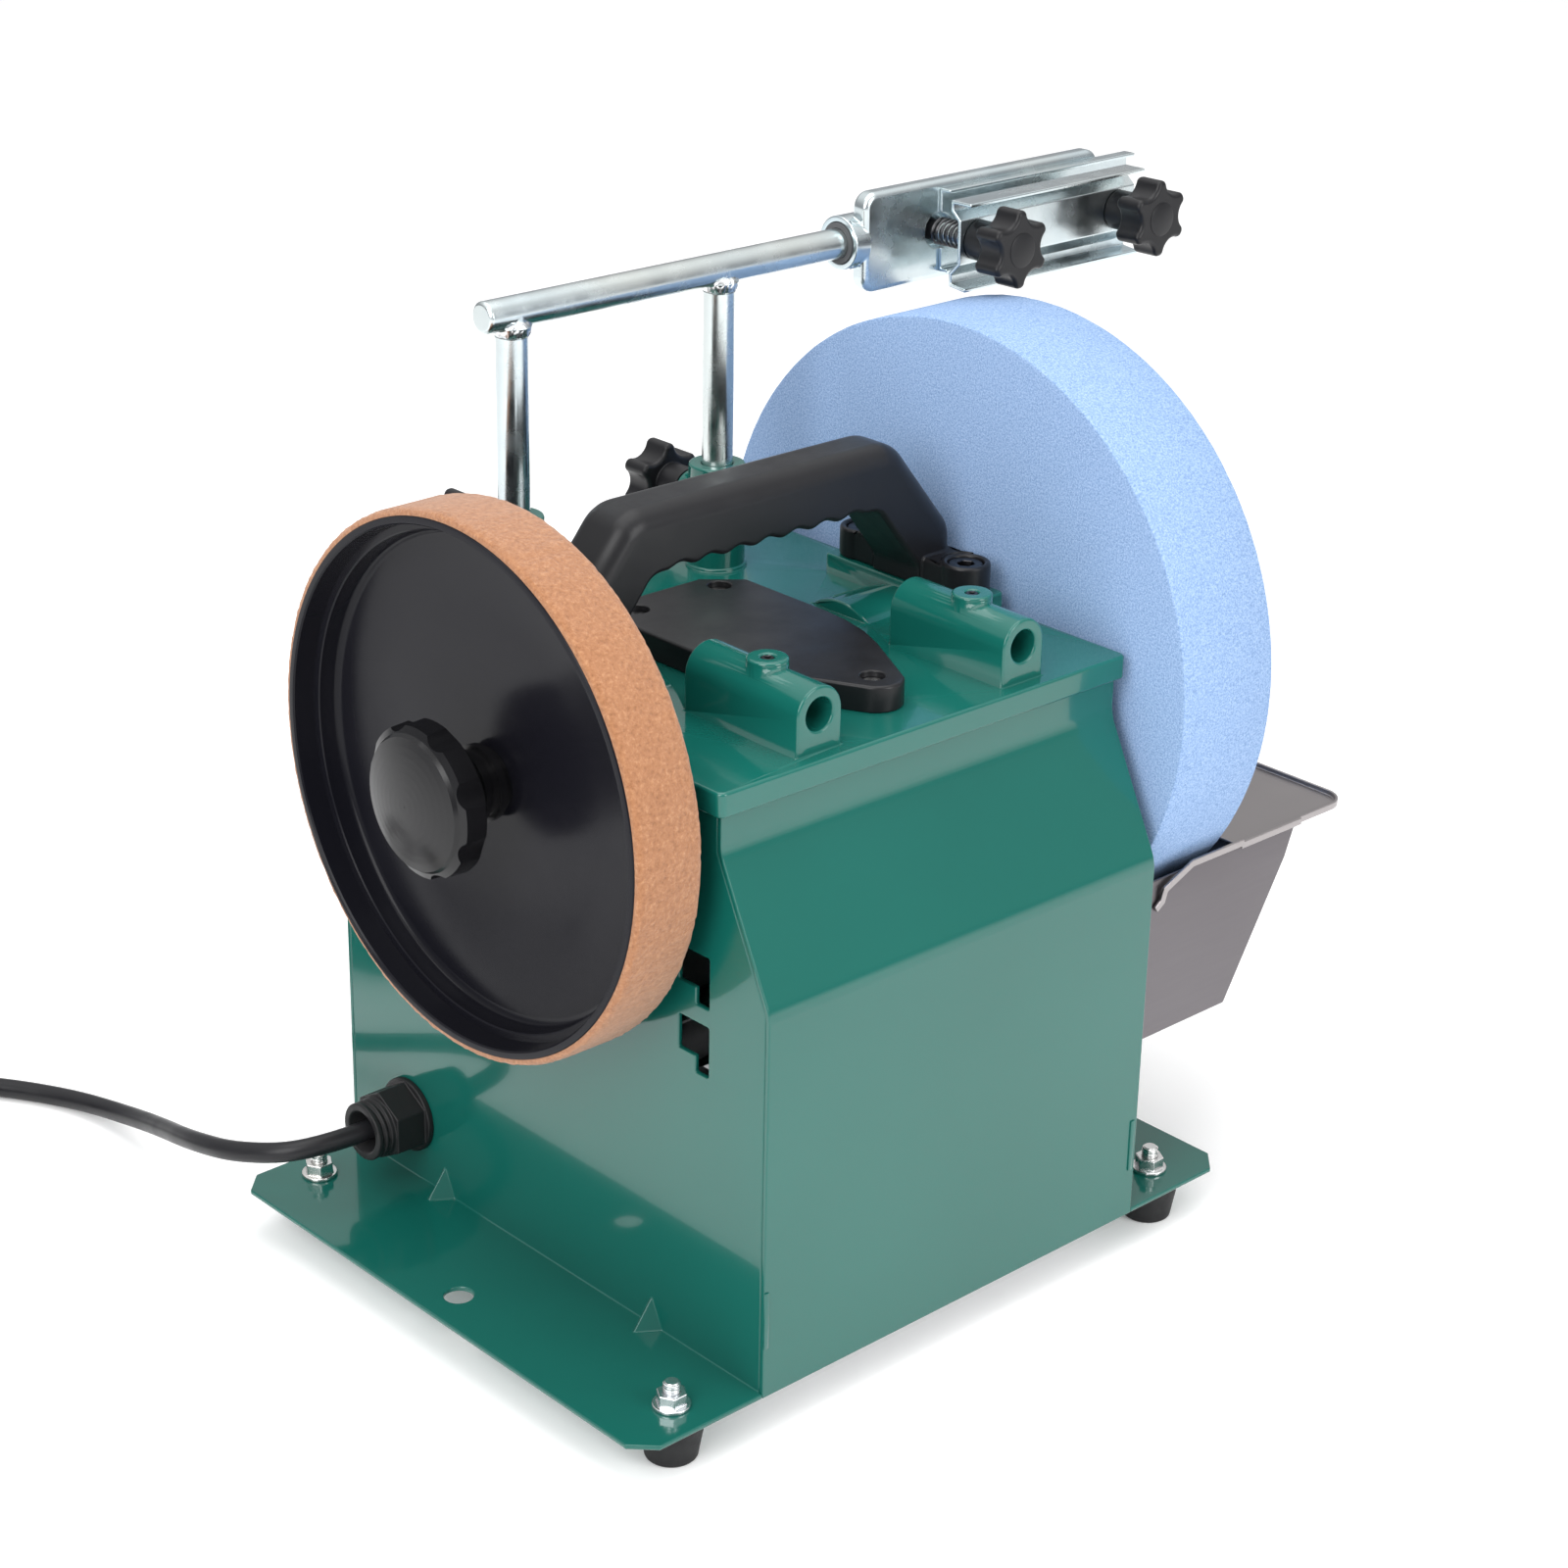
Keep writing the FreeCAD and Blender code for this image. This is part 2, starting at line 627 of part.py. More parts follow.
# ---------------------------------------------------------------- shaft and its bushes
bush_left = rod_x(bush_radius, -half_width, -half_width + 32, 0, shaft_z)
bush_right = rod_x(bush_radius, half_width - 32, half_width, 0, shaft_z)
bush_bore = rod_x(shaft_radius + running_gap, -200, 200, 0, shaft_z)
save("shaft_bushes", group(bush_left.cut(bush_bore), bush_right.cut(bush_bore)))

knob_bottom = knob_face - knob_head + 4.0
shaft = rod_x(shaft_radius, -knob_bottom, stone_right + clamp_washer + stone_nut + 4, 0, shaft_z)
save("main_shaft", shaft.makeChamfer(1.0, [e for e in shaft.Edges if isinstance(e.Curve, Part.Circle)]))

# ---------------------------------------------------------------- grindstone and its clamping
stone = rod_x(stone_radius, stone_left, stone_right, 0, shaft_z)
stone = stone.makeChamfer(1.0, [e for e in stone.Edges if isinstance(e.Curve, Part.Circle)])
save("grindstone", stone.cut(rod_x(shaft_radius, 0, 200, 0, shaft_z)))


def arbor_disc(radius, x0, x1):
    return rod_x(radius, x0, x1, 0, shaft_z).cut(rod_x(shaft_radius, x0, x1, 0, shaft_z))


save("stone_inner_washer", arbor_disc(25.0, stone_left - stone_washer, stone_left))
save("stone_outer_washer", arbor_disc(30.0, stone_right, stone_right + clamp_washer))
nut_x = stone_right + clamp_washer
nut = hexagon_prism(19.0, 0, 0, 0, stone_nut)
nut.translate(V(-mid, 0, 0))
nut.rotate(V(0, 0, 0), Y_AXIS, 90)
nut.translate(V(mid + nut_x, 0, shaft_z))
save("stone_nut", nut.cut(rod_x(shaft_radius, nut_x, nut_x + stone_nut, 0, shaft_z)))

# ---------------------------------------------------------------- leather honing wheel
rim_radius = wheel_radius - leather_thickness
floor_front = dish_depth - wheel_face
floor_back = floor_front + dish_floor
hub_outline = [(-wheel_face, rim_radius - 3.0), (-wheel_face, rim_radius), (-wheel_back, rim_radius),
               (-wheel_back, drive_ring_outer), (floor_back, drive_ring_outer), (floor_back, 16.0),
               (-wheel_back, 16.0), (-wheel_back, shaft_radius), (floor_front, shaft_radius),
               (floor_front, rim_radius - 10.0), (floor_front - 0.8, rim_radius - 8.2),
               (floor_front - 2.2, rim_radius - 7.0), (floor_front - 7.5, rim_radius - 6.6),
               (floor_front - 8.5, rim_radius - 4.0)]
save("honing_hub", turned_x(hub_outline, 0, shaft_z))
leather = rod_x(wheel_radius, 0.4 - wheel_face, -wheel_back - 0.4, 0, shaft_z)
save("leather_band", leather.cut(rod_x(rim_radius, -wheel_face, -wheel_back, 0, shaft_z)))
drive_ring = rod_x(drive_ring_outer, floor_back, -wheel_back, 0, shaft_z)
save("drive_ring", drive_ring.cut(rod_x(drive_ring_inner, -wheel_face, -wheel_back, 0, shaft_z)))

knob_back = knob_head - knob_face
knob_dome = [(knob_radius - 4.0) * share / 8 for share in range(9)]
knob_outline = [(3.2 * (radius / knob_dome[-1]) ** 2 - knob_face, radius) for radius in knob_dome]
knob_outline += [(4.6 - knob_face, knob_radius - 3), (6 - knob_face, knob_radius - 0.5),
                (14 - knob_face, knob_radius), (knob_back, knob_radius - 2.5),
                (knob_back, knob_neck_radius), (floor_front - 12, knob_neck_radius),
                (floor_front - 12, knob_neck_radius + 1.5), (floor_front - 9.5, knob_neck_radius + 1.5),
                (floor_front - 9.5, knob_neck_radius), (floor_front - 6, knob_neck_radius),
                (floor_front - 6, knob_neck_radius + 2), (floor_front - 3, knob_neck_radius + 2),
                (floor_front - 3, knob_neck_radius), (floor_front - 0.1, knob_neck_radius),
                (floor_front - 0.1, 0)]
honing_knob = turned_x(knob_outline, 0, shaft_z)
knob_scallop = 7.0
for scallop in range(8):
    angle = math.radians(45 * scallop + 22.5)
    reach = knob_radius + knob_scallop - 2.5
    hollow = rod_x(knob_scallop, 4.6 - knob_face, knob_back, reach * math.cos(angle),
                   shaft_z + reach * math.sin(angle))
    honing_knob = honing_knob.cut(hollow)
knob_hole = rod_x(shaft_radius + running_gap, -knob_bottom - 1, 0, 0, shaft_z)
save("honing_knob", honing_knob.cut(knob_hole))

# ---------------------------------------------------------------- motor, its pivot and friction roller
casing = rod_x(motor_radius, -motor_face, motor_length - motor_face, 0, motor_z)
casing = casing.makeFillet(6.0, [e for e in casing.Edges if isinstance(e.Curve, Part.Circle)])
shaft_hole = rod_x(motor_shaft_radius + running_gap, -motor_face - 1, 30, 0, motor_z)
save("motor_casing", casing.cut(shaft_hole))

cradle_x0, cradle_x1 = -45.0, 5.0
cradle = joined(rod_x(motor_radius + 3, cradle_x0, cradle_x1, 0, motor_z),
                rod_x(pivot_radius + 4, cradle_x0, cradle_x1, pivot_y, pivot_z),
                block(cradle_x0, cradle_x1, pivot_y, -motor_radius + 6, pivot_z - 7, pivot_z + 7))
cradle = cradle.cut(rod_x(motor_radius, cradle_x0, cradle_x1, 0, motor_z))
cradle = cradle.cut(rod_x(pivot_radius + running_gap, cradle_x0, cradle_x1, pivot_y, pivot_z))
save("motor_cradle", cradle)
save("motor_pivot", rod_x(pivot_radius, sheet - half_width, half_width - sheet, pivot_y, pivot_z))

roller = rod_x(roller_radius, floor_back + 0.5, -wheel_back, 0, motor_z)
spindle = rod_x(motor_shaft_radius, -wheel_back, 25, 0, motor_z)
save("motor_spindle", spindle)
save("drive_roller", roller)

capacitor_y = 85.0
save("run_capacitor", rod_x(15.0, 10, 80, capacitor_y, flange_top_z + bottom_sheet + 15))


# ---------------------------------------------------------------- support bar with its two legs
def weld_bead(x):
    """Low fillet weld where a leg meets the bar."""
    foot = V(mid + x, back_sleeve_y, bar_z - 8.5)
    return Part.makeCone(bar_radius + 0.3, bar_radius + 1.6, 4.0, foot, Z_AXIS)


bar = rod_x(bar_radius, -bar_left, bar_right, back_sleeve_y, bar_z)
bar = bar.makeChamfer(1.0, [e for e in bar.Edges if isinstance(e.Curve, Part.Circle)])
leg_bottom_z = bar_z - leg_length
legs = [rod_z(bar_radius, leg_bottom_z, bar_z, side * sleeve_spacing / 2, back_sleeve_y)
        for side in (-1, 1)]
beads = [weld_bead(side * sleeve_spacing / 2) for side in (-1, 1)]
save("support_bar", joined(bar, *legs, *beads))


def lock_knob(x):
    """Star knob with a moulded-in screw that presses on the leg inside the sleeve."""
    boss_end = back_sleeve_y + sleeve_bore + back_sleeve_wall + lock_boss
    neck = rod_y(star_neck_radius, boss_end + free_gap, boss_end + star_neck + 1, x, lock_z)
    screw = rod_y(lock_screw_radius, back_sleeve_y + bar_radius + free_gap, boss_end + 2, x, lock_z)
    return joined(star_head_y(x, boss_end + star_neck, lock_z), neck, screw)


save("lock_knob_left", lock_knob(-sleeve_spacing / 2))
save("lock_knob_right", lock_knob(sleeve_spacing / 2))

# ---------------------------------------------------------------- clamping jig on the bar's end
bar_point = V(mid, back_sleeve_y, bar_z)
stud_places = [jig_mouth + jig_stud_first, jig_mouth + jig_stud_first + jig_stud_spacing]


def tilted(shape):
    """Turn a jig piece back about the bar by the angle it rests at."""
    shape.rotate(bar_point, X_AXIS, -jig_tilt)
    return shape


def ahead(distance):
    """Y of a plane that far in front of the bar's axis."""
    return back_sleeve_y - distance


jig_bush_outer = bar_radius + slide_gap + jig_bush_wall
jig_bush_end = jig_mouth + jig_collar_length
jig_bush = rod_x(jig_bush_outer, jig_mouth - 0.5, jig_bush_end, back_sleeve_y, bar_z)
jig_bush = jig_bush.cut(rod_x(bar_radius + slide_gap, 0, 300, back_sleeve_y, bar_z))
save("jig_bush", jig_bush)

collar_radius = jig_bush_outer + running_gap + jig_collar_wall
slab_x0 = jig_mouth + jig_slab_start
slab_x1 = slab_x0 + jig_slab_length
slab_half = jig_slab_height / 2
slab = block(slab_x0, slab_x1, ahead(jig_slab_front), ahead(jig_slab_front - jig_slab_thickness),
             bar_z - slab_half, bar_z + slab_half)
slab = slab.makeFillet(jig_slab_corner, [e for e in slab.Edges if e.BoundBox.YLength > 1])
slab = slab.makeFillet(jig_slab_edge, [e for e in slab.Edges if e.BoundBox.YLength < 0.01])
fairing = prism_z([(jig_mouth + 1, ahead(6)), (slab_x0 + 8, ahead(jig_slab_front - 1)),
                   (jig_bush_end, ahead(jig_slab_front - 1)), (jig_bush_end, ahead(-4)),
                   (slab_x0 + 6, ahead(-4))], bar_z - 9, bar_z + 9)
collar = rod_x(collar_radius, jig_mouth, jig_bush_end, back_sleeve_y, bar_z)
collar = collar.cut(block(slab_x0 + 3, jig_bush_end + 1, ahead(jig_slab_front + 5),
                          ahead(jig_slab_front - 0.5),
                          bar_z - 20, bar_z + 20))
stud_boss_back = ahead(jig_slab_front - jig_slab_thickness - 6)
stud_bosses = [rod_y(9.0, ahead(jig_slab_front - 3), stud_boss_back, x, bar_z) for x in stud_places]
jig_base = joined(slab, collar, fairing, *stud_bosses)
jig_base = jig_base.cut(rod_x(jig_bush_outer + running_gap, jig_mouth - 5, jig_bush_end, back_sleeve_y,
                              bar_z))
spring_pocket = 7.0
for x in stud_places:
    jig_base = jig_base.cut(rod_y(jig_stud_radius + running_gap, ahead(30), ahead(-30), x, bar_z))
    jig_base = jig_base.cut(rod_y(spring_pocket, ahead(30), ahead(jig_slab_front - 4.5), x, bar_z))
save("jig_base", tilted(jig_base))


def jaw(path, x0, x1, hole_radius):
    """Bent strip along X; its path is given as (distance ahead of the bar, height above it)."""
    outline = [(ahead(u), bar_z + w) for u, w in bent_strip(path, jaw_sheet)]
    piece = prism_x(outline, x0, x1)
    for x in stud_places:
        piece = piece.cut(rod_y(hole_radius, ahead(60), ahead(0), x, bar_z))
    return piece


rear_u = jig_slab_front + jaw_sheet / 2
rear_path = [(rear_u + 5, 16), (rear_u, 16), (rear_u, -16), (rear_u + 4, -16)]
save("jig_rear_jaw", tilted(jaw(rear_path, jig_mouth + rear_jaw_start, jig_right, spring_pocket)))

lip_back = jaw_front - 4.0
front_path = [(jaw_front + 6, 15.5), (lip_back, 15.5), (lip_back, 12), (jaw_front, 8.5), (jaw_front, -8.5),
              (lip_back - 0.5, -13), (lip_back - 0.5, -17.5), (jaw_front + 4, -18.5)]
front_x0 = stud_places[0] - front_jaw_margin
front_x1 = stud_places[1] + front_jaw_margin
save("jig_front_jaw", tilted(jaw(front_path, front_x0, front_x1, jig_stud_radius + free_gap)))

spring_start = jig_slab_front - 0.3
spring_end = jaw_front - jaw_sheet / 2
spring_wire = 1.2
springs = []
for x in stud_places:
    coil_count = 7
    pitch = (spring_end - spring_start) / coil_count
    steps = [(spring_end - pitch * n, spring_end - pitch * (n + 0.5), spring_end - pitch * (n + 1))
             for n in range(coil_count)]
    tube = rod_y(5.6, ahead(spring_end), ahead(spring_start), x, bar_z)
    for near, middle, far in steps:
        groove = rod_y(7.0, ahead(middle), ahead(far), x, bar_z)
        groove = groove.cut(rod_y(5.1, ahead(middle), ahead(far), x, bar_z))
        tube = tube.cut(groove)
    springs.append(tilted(tube.cut(rod_y(jig_stud_radius + free_gap, ahead(60), ahead(0), x, bar_z))))
save("jig_springs", group(*springs))


def jig_knob(x):
    """Star knob facing forward on a threaded stud that screws into the slab."""
    neck_back = jaw_front + jaw_sheet / 2 + 0.1
    head_back = neck_back + star_neck
    head = star_head_y(x, ahead(head_back + star_head), bar_z)
    neck = rod_y(star_neck_radius, ahead(head_back + 1), ahead(neck_back), x, bar_z)
    stud = rod_y(jig_stud_radius, ahead(head_back), ahead(-10), x, bar_z)
    return joined(head, neck, stud)


save("jig_knob_left", tilted(jig_knob(stud_places[0])))
save("jig_knob_right", tilted(jig_knob(stud_places[1])))

# ---------------------------------------------------------------- water trough
trough_left = half_width + trough_gap


def trough_body(wall):
    """Solid of the trough's space, drawn in by the wall's thickness."""
    slant = wall * math.hypot(1, trough_slope)
    low = trough_left + trough_floor - (slant - trough_slope * wall)
    z0 = trough_bottom_z + wall
    high = low + trough_slope * (trough_top_z - z0)
    across = prism_y([(trough_left + wall, z0), (low, z0), (high, trough_top_z),
                      (trough_left + wall, trough_top_z)], -trough_half_length, trough_half_length)
    end = trough_half_length - wall
    along = prism_x([(-end, z0), (end, z0), (end, trough_lean_z), (end - trough_lean, trough_top_z),
                     (trough_lean - end, trough_top_z), (-end, trough_lean_z)], trough_left,
                      trough_left + 150)
    return across.common(along)


trough = trough_body(0).cut(trough_body(trough_sheet))
trough_stud_y = stud_slot_y - slot_leg / 2
trough_stud_z = slot_level + trough_stud_radius + free_gap
save("water_trough", trough)

trough_studs = []
for front in (-1, 1):
    neck = rod_x(trough_stud_radius, half_width - sheet - 0.4, trough_left, front * trough_stud_y,
                 trough_stud_z)
    head = rod_x(5.2, half_width - sheet - 2.6, half_width - sheet - 0.4, front * trough_stud_y,
                 trough_stud_z)
    trough_studs.append(joined(neck, head))
save("trough_studs", group(*trough_studs))

tray_x0 = stone_right + tray_gap
tray_x1 = trough_left + tray_end
tray_half = trough_half_length
tray_rim_z = trough_top_z + tray_lip + trough_sheet
tray_outer = block(tray_x0, tray_x1, -tray_half, tray_half, trough_top_z, tray_rim_z)
tray_outer = tray_outer.makeFillet(tray_corner, [e for e in upright_edges(tray_outer)
                                                 if e.Vertexes[0].Point.x > mid + tray_x0 + 1])
tray_inner = block(tray_x0 - 1, tray_x1 - trough_sheet, trough_sheet - tray_half, tray_half - trough_sheet,
                   trough_top_z + trough_sheet, trough_top_z + 20)
tray_inner = tray_inner.makeFillet(tray_corner - trough_sheet, [e for e in upright_edges(tray_inner)
                                                                if e.Vertexes[0].Point.x > mid + tray_x0 + 1])
lip_path = [(tray_x0 + 1, trough_top_z + 2.5), (tray_x0 - 29, trough_top_z + 2.5),
            (tray_x0 - 44, trough_top_z - 4), (tray_x0 - 45.5, trough_top_z - 8.5),
            (tray_x0 - 49, trough_top_z - 11)]
tray = tray_outer.cut(tray_inner)
for front in (-1, 1):
    y0, y1 = sorted((front * trough_half_length, front * (trough_half_length + trough_sheet)))
    tray = tray.fuse(prism_y(bent_strip(lip_path, 3.0), y0, y1))
    tray = tray.fuse(block(tray_x0, tray_x0 + 36, y0, y1, trough_top_z, tray_rim_z))
save("trough_tray", tray.removeSplitter())

# ---------------------------------------------------------------- cable gland, switch
gland_flange = rod_x(15.0, -half_width - 2.5, -half_width, gland_y, gland_z)
barrel = hexagon_prism(25.0, 0, 0, 0, 13.0)
barrel.translate(V(-mid, 0, 0))
barrel.rotate(V(0, 0, 0), Y_AXIS, -90)
barrel.translate(V(mid - half_width - 2.5, gland_y, gland_z))
collar = rod_x(11.6, -half_width - 23.5, -half_width - 15.5, gland_y, gland_z)
for ring in (0, 1):
    groove_x = -half_width - 17.5 - 2.6 * ring
    groove = rod_x(13.0, groove_x - 1.2, groove_x, gland_y, gland_z)
    collar = collar.cut(groove.cut(rod_x(10.6, groove_x - 1.2, groove_x, gland_y, gland_z)))
thread = rod_x(gland_thread_radius, -half_width, -half_width + sheet + 8, gland_y, gland_z)
gland = joined(gland_flange, barrel, collar, thread)
mouth = Part.makeCone(8.6, cord_radius, 9.0, V(mid - half_width - 23.5, gland_y, gland_z), X_AXIS)
gland = gland.cut(mouth)
gland = gland.cut(rod_x(cord_radius, -half_width - 24, 0, gland_y, gland_z))
save("cable_gland", gland)
locknut = rod_x(13.0, -half_width + sheet, -half_width + sheet + 5, gland_y, gland_z)
save("gland_locknut", locknut.cut(rod_x(gland_thread_radius, -half_width, 0, gland_y, gland_z)))

bezel = block(switch_x - switch_width / 2 - 2, switch_x + switch_width / 2 + 2, half_depth, half_depth + 1.5,
              switch_z - switch_height / 2 - 2, switch_z + switch_height / 2 + 2)
case = block(switch_x - switch_width / 2 + 0.2, switch_x + switch_width / 2 - 0.2, half_depth - 22,
             half_depth + 0.5, switch_z - switch_height / 2 + 0.2, switch_z + switch_height / 2 - 0.2)
rocker_half = switch_width / 2 - 4
rocker_y = half_depth - 6.5
well = rod_x(rocker_radius + free_gap, switch_x - rocker_half - free_gap, switch_x + rocker_half + free_gap,
             rocker_y, switch_z)
window = block(switch_x - rocker_half - free_gap, switch_x + rocker_half + free_gap, rocker_y,
               half_depth + 5,
               switch_z - rocker_radius - free_gap, switch_z + rocker_radius + free_gap)
save("switch_body", joined(bezel, case).cut(joined(well, window)))
rocker = rod_x(rocker_radius, switch_x - rocker_half, switch_x + rocker_half, rocker_y, switch_z)
face_y = half_depth + 1.8
for lean in (-1, 1):
    pad_cut = block(switch_x - rocker_half - 1, switch_x + rocker_half + 1, face_y - 2.0, face_y + 12,
                    -20, 20)
    pad_cut.translate(V(0, 0, switch_z))
    pad_cut.rotate(V(mid, face_y - 2.0, switch_z), X_AXIS, lean * 8.0)
    upper = pad_cut.common(block(-400, 400, 0, 400, *sorted((switch_z, switch_z + lean * 40))))
    rocker = rocker.cut(upper)
rocker.rotate(V(mid, rocker_y, switch_z), X_AXIS, -8.0)
save("switch_rocker", rocker)

# ---------------------------------------------------------------- mains cord
coil_turn = 48.0            # middle of the turns
coil_rows = 3
coil_width = 4 * cord_radius
coil_height = 2 * cord_radius * coil_rows
coil_inner = coil_turn - coil_width / 2
coil_outer = coil_turn + coil_width / 2
outer_turn = coil_turn + cord_radius
plug_radius = 18.5
mouth_x = mid - half_width - 16.0

lead_route = [V(mouth_x, gland_y, gland_z), V(mid - 143, 84, 46), V(mid - 160, 108, 41), V(mid - 160,
                                                                                           142, 32),
              V(mid - 152, 178, 20), V(mid - 147, 213, 9), V(mid - 152, 246, 4.4), V(mid - 170, 276, 4.2),
              V(mid - 194, 304, 4.2), V(mid - 222, 330, 4.2)]
lead_heading = lead_route[-1].sub(lead_route[-2]).normalize()
coil_centre = lead_route[-1].add(V(-lead_heading.y, lead_heading.x, 0).multiply(outer_turn))
coil_centre.z = 0
tail_angle = math.radians(180)
tail_heading = V(-math.sin(tail_angle), math.cos(tail_angle), 0)
tail_start = coil_centre.add(V(math.cos(tail_angle), math.sin(tail_angle), 0).multiply(outer_turn))
tail_start.z = coil_height - cord_radius
tail_route = [tail_start, tail_start.add(V(0, -25, 0)), tail_start.add(V(-2.5, -50.5, -0.7)),
              tail_start.add(V(-7.5, -75.5, plug_radius + 0.1 - tail_start.z))]


def cord_tube(route, radius):
    """Tube along straight runs joined by arcs as large as the runs allow."""
    edges = []
    start = route[0]
    radii = []
    for index in range(1, len(route) - 1):
        corner = route[index]
        back = route[index - 1].sub(corner)
        onward = route[index + 1].sub(corner)
        turn = math.pi - back.getAngle(onward)
        cut = 0.45 * min(back.Length, onward.Length)
        radii.append(cut / math.tan(turn / 2))
        first = corner.add(V(back).normalize().multiply(cut))
        last = corner.add(V(onward).normalize().multiply(cut))
        inward = V(back).normalize().add(V(onward).normalize()).normalize()
        sagitta = radii[-1] / math.cos(turn / 2) - radii[-1]
        edges.append(Part.LineSegment(start, first).toShape())
        edges.append(Part.Arc(first, corner.add(inward.multiply(sagitta)), last).toShape())
        start = last
    edges.append(Part.LineSegment(start, route[-1]).toShape())
    spine = Part.Wire(edges)
    heading = route[1].sub(route[0]).normalize()
    section = Part.Wire(Part.makeCircle(radius, route[0], heading))
    tube = spine.makePipeShell([section], True, False)
    print("bend radii", [round(r, 1) for r in radii], "length", round(spine.Length, 1),
          "volume ratio", round(tube.Volume / (math.pi * radius ** 2 * spine.Length), 4))
    return tube


save("cord_lead", cord_tube(lead_route, cord_radius))
ring = Part.makeCylinder(coil_outer, coil_height, coil_centre, Z_AXIS)
save("cord_coil", ring.cut(Part.makeCylinder(coil_inner, coil_height, coil_centre, Z_AXIS)))
save("cord_tail", cord_tube(tail_route, cord_radius))

plug_start = tail_route[-1]
plug_way = tail_route[-1].sub(tail_route[-2])
plug_way.z = 0
plug_way.normalize()
relief = Part.makeCone(5.0, 8.5, 26, plug_start, plug_way)
plug_body = Part.makeCylinder(plug_radius, 30, plug_start.add(V(plug_way).multiply(26)), plug_way)
plug_body = plug_body.makeFillet(3.0, [e for e in plug_body.Edges if isinstance(e.Curve, Part.Circle)])
plug = relief.fuse(plug_body).removeSplitter()
save("mains_plug", plug)
across = V(-plug_way.y, plug_way.x, 0)
pins = []
for side in (-1, 1):
    foot_point = plug_start.add(V(plug_way).multiply(56)).add(V(across).multiply(side * 9.5))
    pins.append(Part.makeCylinder(2.4, 19, foot_point, plug_way))
save("plug_pins", group(*pins))
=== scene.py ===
import bpy
import bmesh
import math
from mathutils import Matrix, Vector, noise


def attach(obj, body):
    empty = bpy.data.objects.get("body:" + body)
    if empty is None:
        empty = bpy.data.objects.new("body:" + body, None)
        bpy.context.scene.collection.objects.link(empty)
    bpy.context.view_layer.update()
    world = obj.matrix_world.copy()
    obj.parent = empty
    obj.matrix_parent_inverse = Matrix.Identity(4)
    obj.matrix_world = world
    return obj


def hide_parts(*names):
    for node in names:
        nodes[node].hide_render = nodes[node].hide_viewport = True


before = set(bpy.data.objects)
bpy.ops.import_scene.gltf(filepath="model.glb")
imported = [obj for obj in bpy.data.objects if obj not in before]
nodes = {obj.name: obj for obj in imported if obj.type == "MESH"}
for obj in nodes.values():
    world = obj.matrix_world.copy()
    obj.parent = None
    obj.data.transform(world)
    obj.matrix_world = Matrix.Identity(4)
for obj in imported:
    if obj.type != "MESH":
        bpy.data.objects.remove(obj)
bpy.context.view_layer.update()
scene = bpy.context.scene

# ---- Camera, floor and studio light -------------------------------------------------------
# A white sweep with one broad softbox on the left front, a weaker one on the right and a
# large overhead panel; the machine stands on the sweep on its own four feet.
mid = -0.0554                 # the housing's middle plane
lens = bpy.data.cameras.new("camera")
lens.lens = 75.14
lens.sensor_width = 36.0
lens.clip_start = 0.05
lens.clip_end = 30.0
camera = bpy.data.objects.new("camera", lens)
azimuth, elevation, roll = math.radians(-43.172), math.radians(23.422), math.radians(1.186)
back = Vector((math.sin(azimuth) * math.cos(elevation), -math.cos(azimuth) * math.cos(elevation),
               math.sin(elevation)))
level = Vector((0, 0, 1)).cross(back).normalized()
upright = back.cross(level)
right = level * math.cos(roll) + upright * math.sin(roll)
up = upright * math.cos(roll) - level * math.sin(roll)
camera.matrix_world = Matrix((right, up, back)).transposed().to_4x4()
camera.location = (mid - 0.7595, -0.8322, 0.6752)
scene.collection.objects.link(camera)
scene.camera = camera
scene.view_settings.view_transform = "Standard"

floor_mesh = bpy.data.meshes.new("floor")
floor_mesh.from_pydata([(-6, -6, 0), (6, -6, 0), (6, 6, 0), (-6, 6, 0)], [], [(0, 1, 2, 3)])
floor = bpy.data.objects.new("floor", floor_mesh)
scene.collection.objects.link(floor)
paper = bpy.data.materials.new("white_paper")
paper.use_nodes = True
paper_shader = paper.node_tree.nodes["Principled BSDF"]
paper_shader.inputs["Base Color"].default_value = (0.9, 0.9, 0.9, 1)
paper_shader.inputs["Roughness"].default_value = 0.9
paper_shader.inputs["Specular IOR Level"].default_value = 0.1
paper_shader.inputs["Emission Color"].default_value = (1, 1, 1, 1)
paper_shader.inputs["Emission Strength"].default_value = 0.16
floor_mesh.materials.append(paper)


def softbox(name, place, aim, width, height, watts):
    """A rectangular studio light that faces a point on the machine."""
    lamp = bpy.data.lights.new(name, "AREA")
    lamp.shape = "RECTANGLE"
    lamp.size = width
    lamp.size_y = height
    lamp.energy = watts
    box = bpy.data.objects.new(name, lamp)
    box.location = place
    box.rotation_euler = (Vector(aim) - Vector(place)).to_track_quat("-Z", "Y").to_euler()
    scene.collection.objects.link(box)


softbox("softbox_left", (-1.5, -0.5, 1.1), (mid, 0, 0.15), 1.0, 1.3, 21)
softbox("softbox_front", (0.35, -1.7, 0.9), (mid, 0, 0.15), 0.9, 1.1, 15)
softbox("overhead", (mid, 0.1, 1.7), (mid, 0, 0.1), 1.5, 1.5, 15)
sky = bpy.data.worlds.new("studio")
sky.use_nodes = True
sky_nodes, sky_links = sky.node_tree.nodes, sky.node_tree.links
where = sky_nodes.new("ShaderNodeTexCoord")
split = sky_nodes.new("ShaderNodeSeparateXYZ")
shade = sky_nodes.new("ShaderNodeValToRGB")
shade.color_ramp.elements[0].position = 0.0
shade.color_ramp.elements[0].color = (0.3, 0.31, 0.33, 1)
shade.color_ramp.elements[1].position = 0.75
shade.color_ramp.elements[1].color = (1, 1, 1, 1)
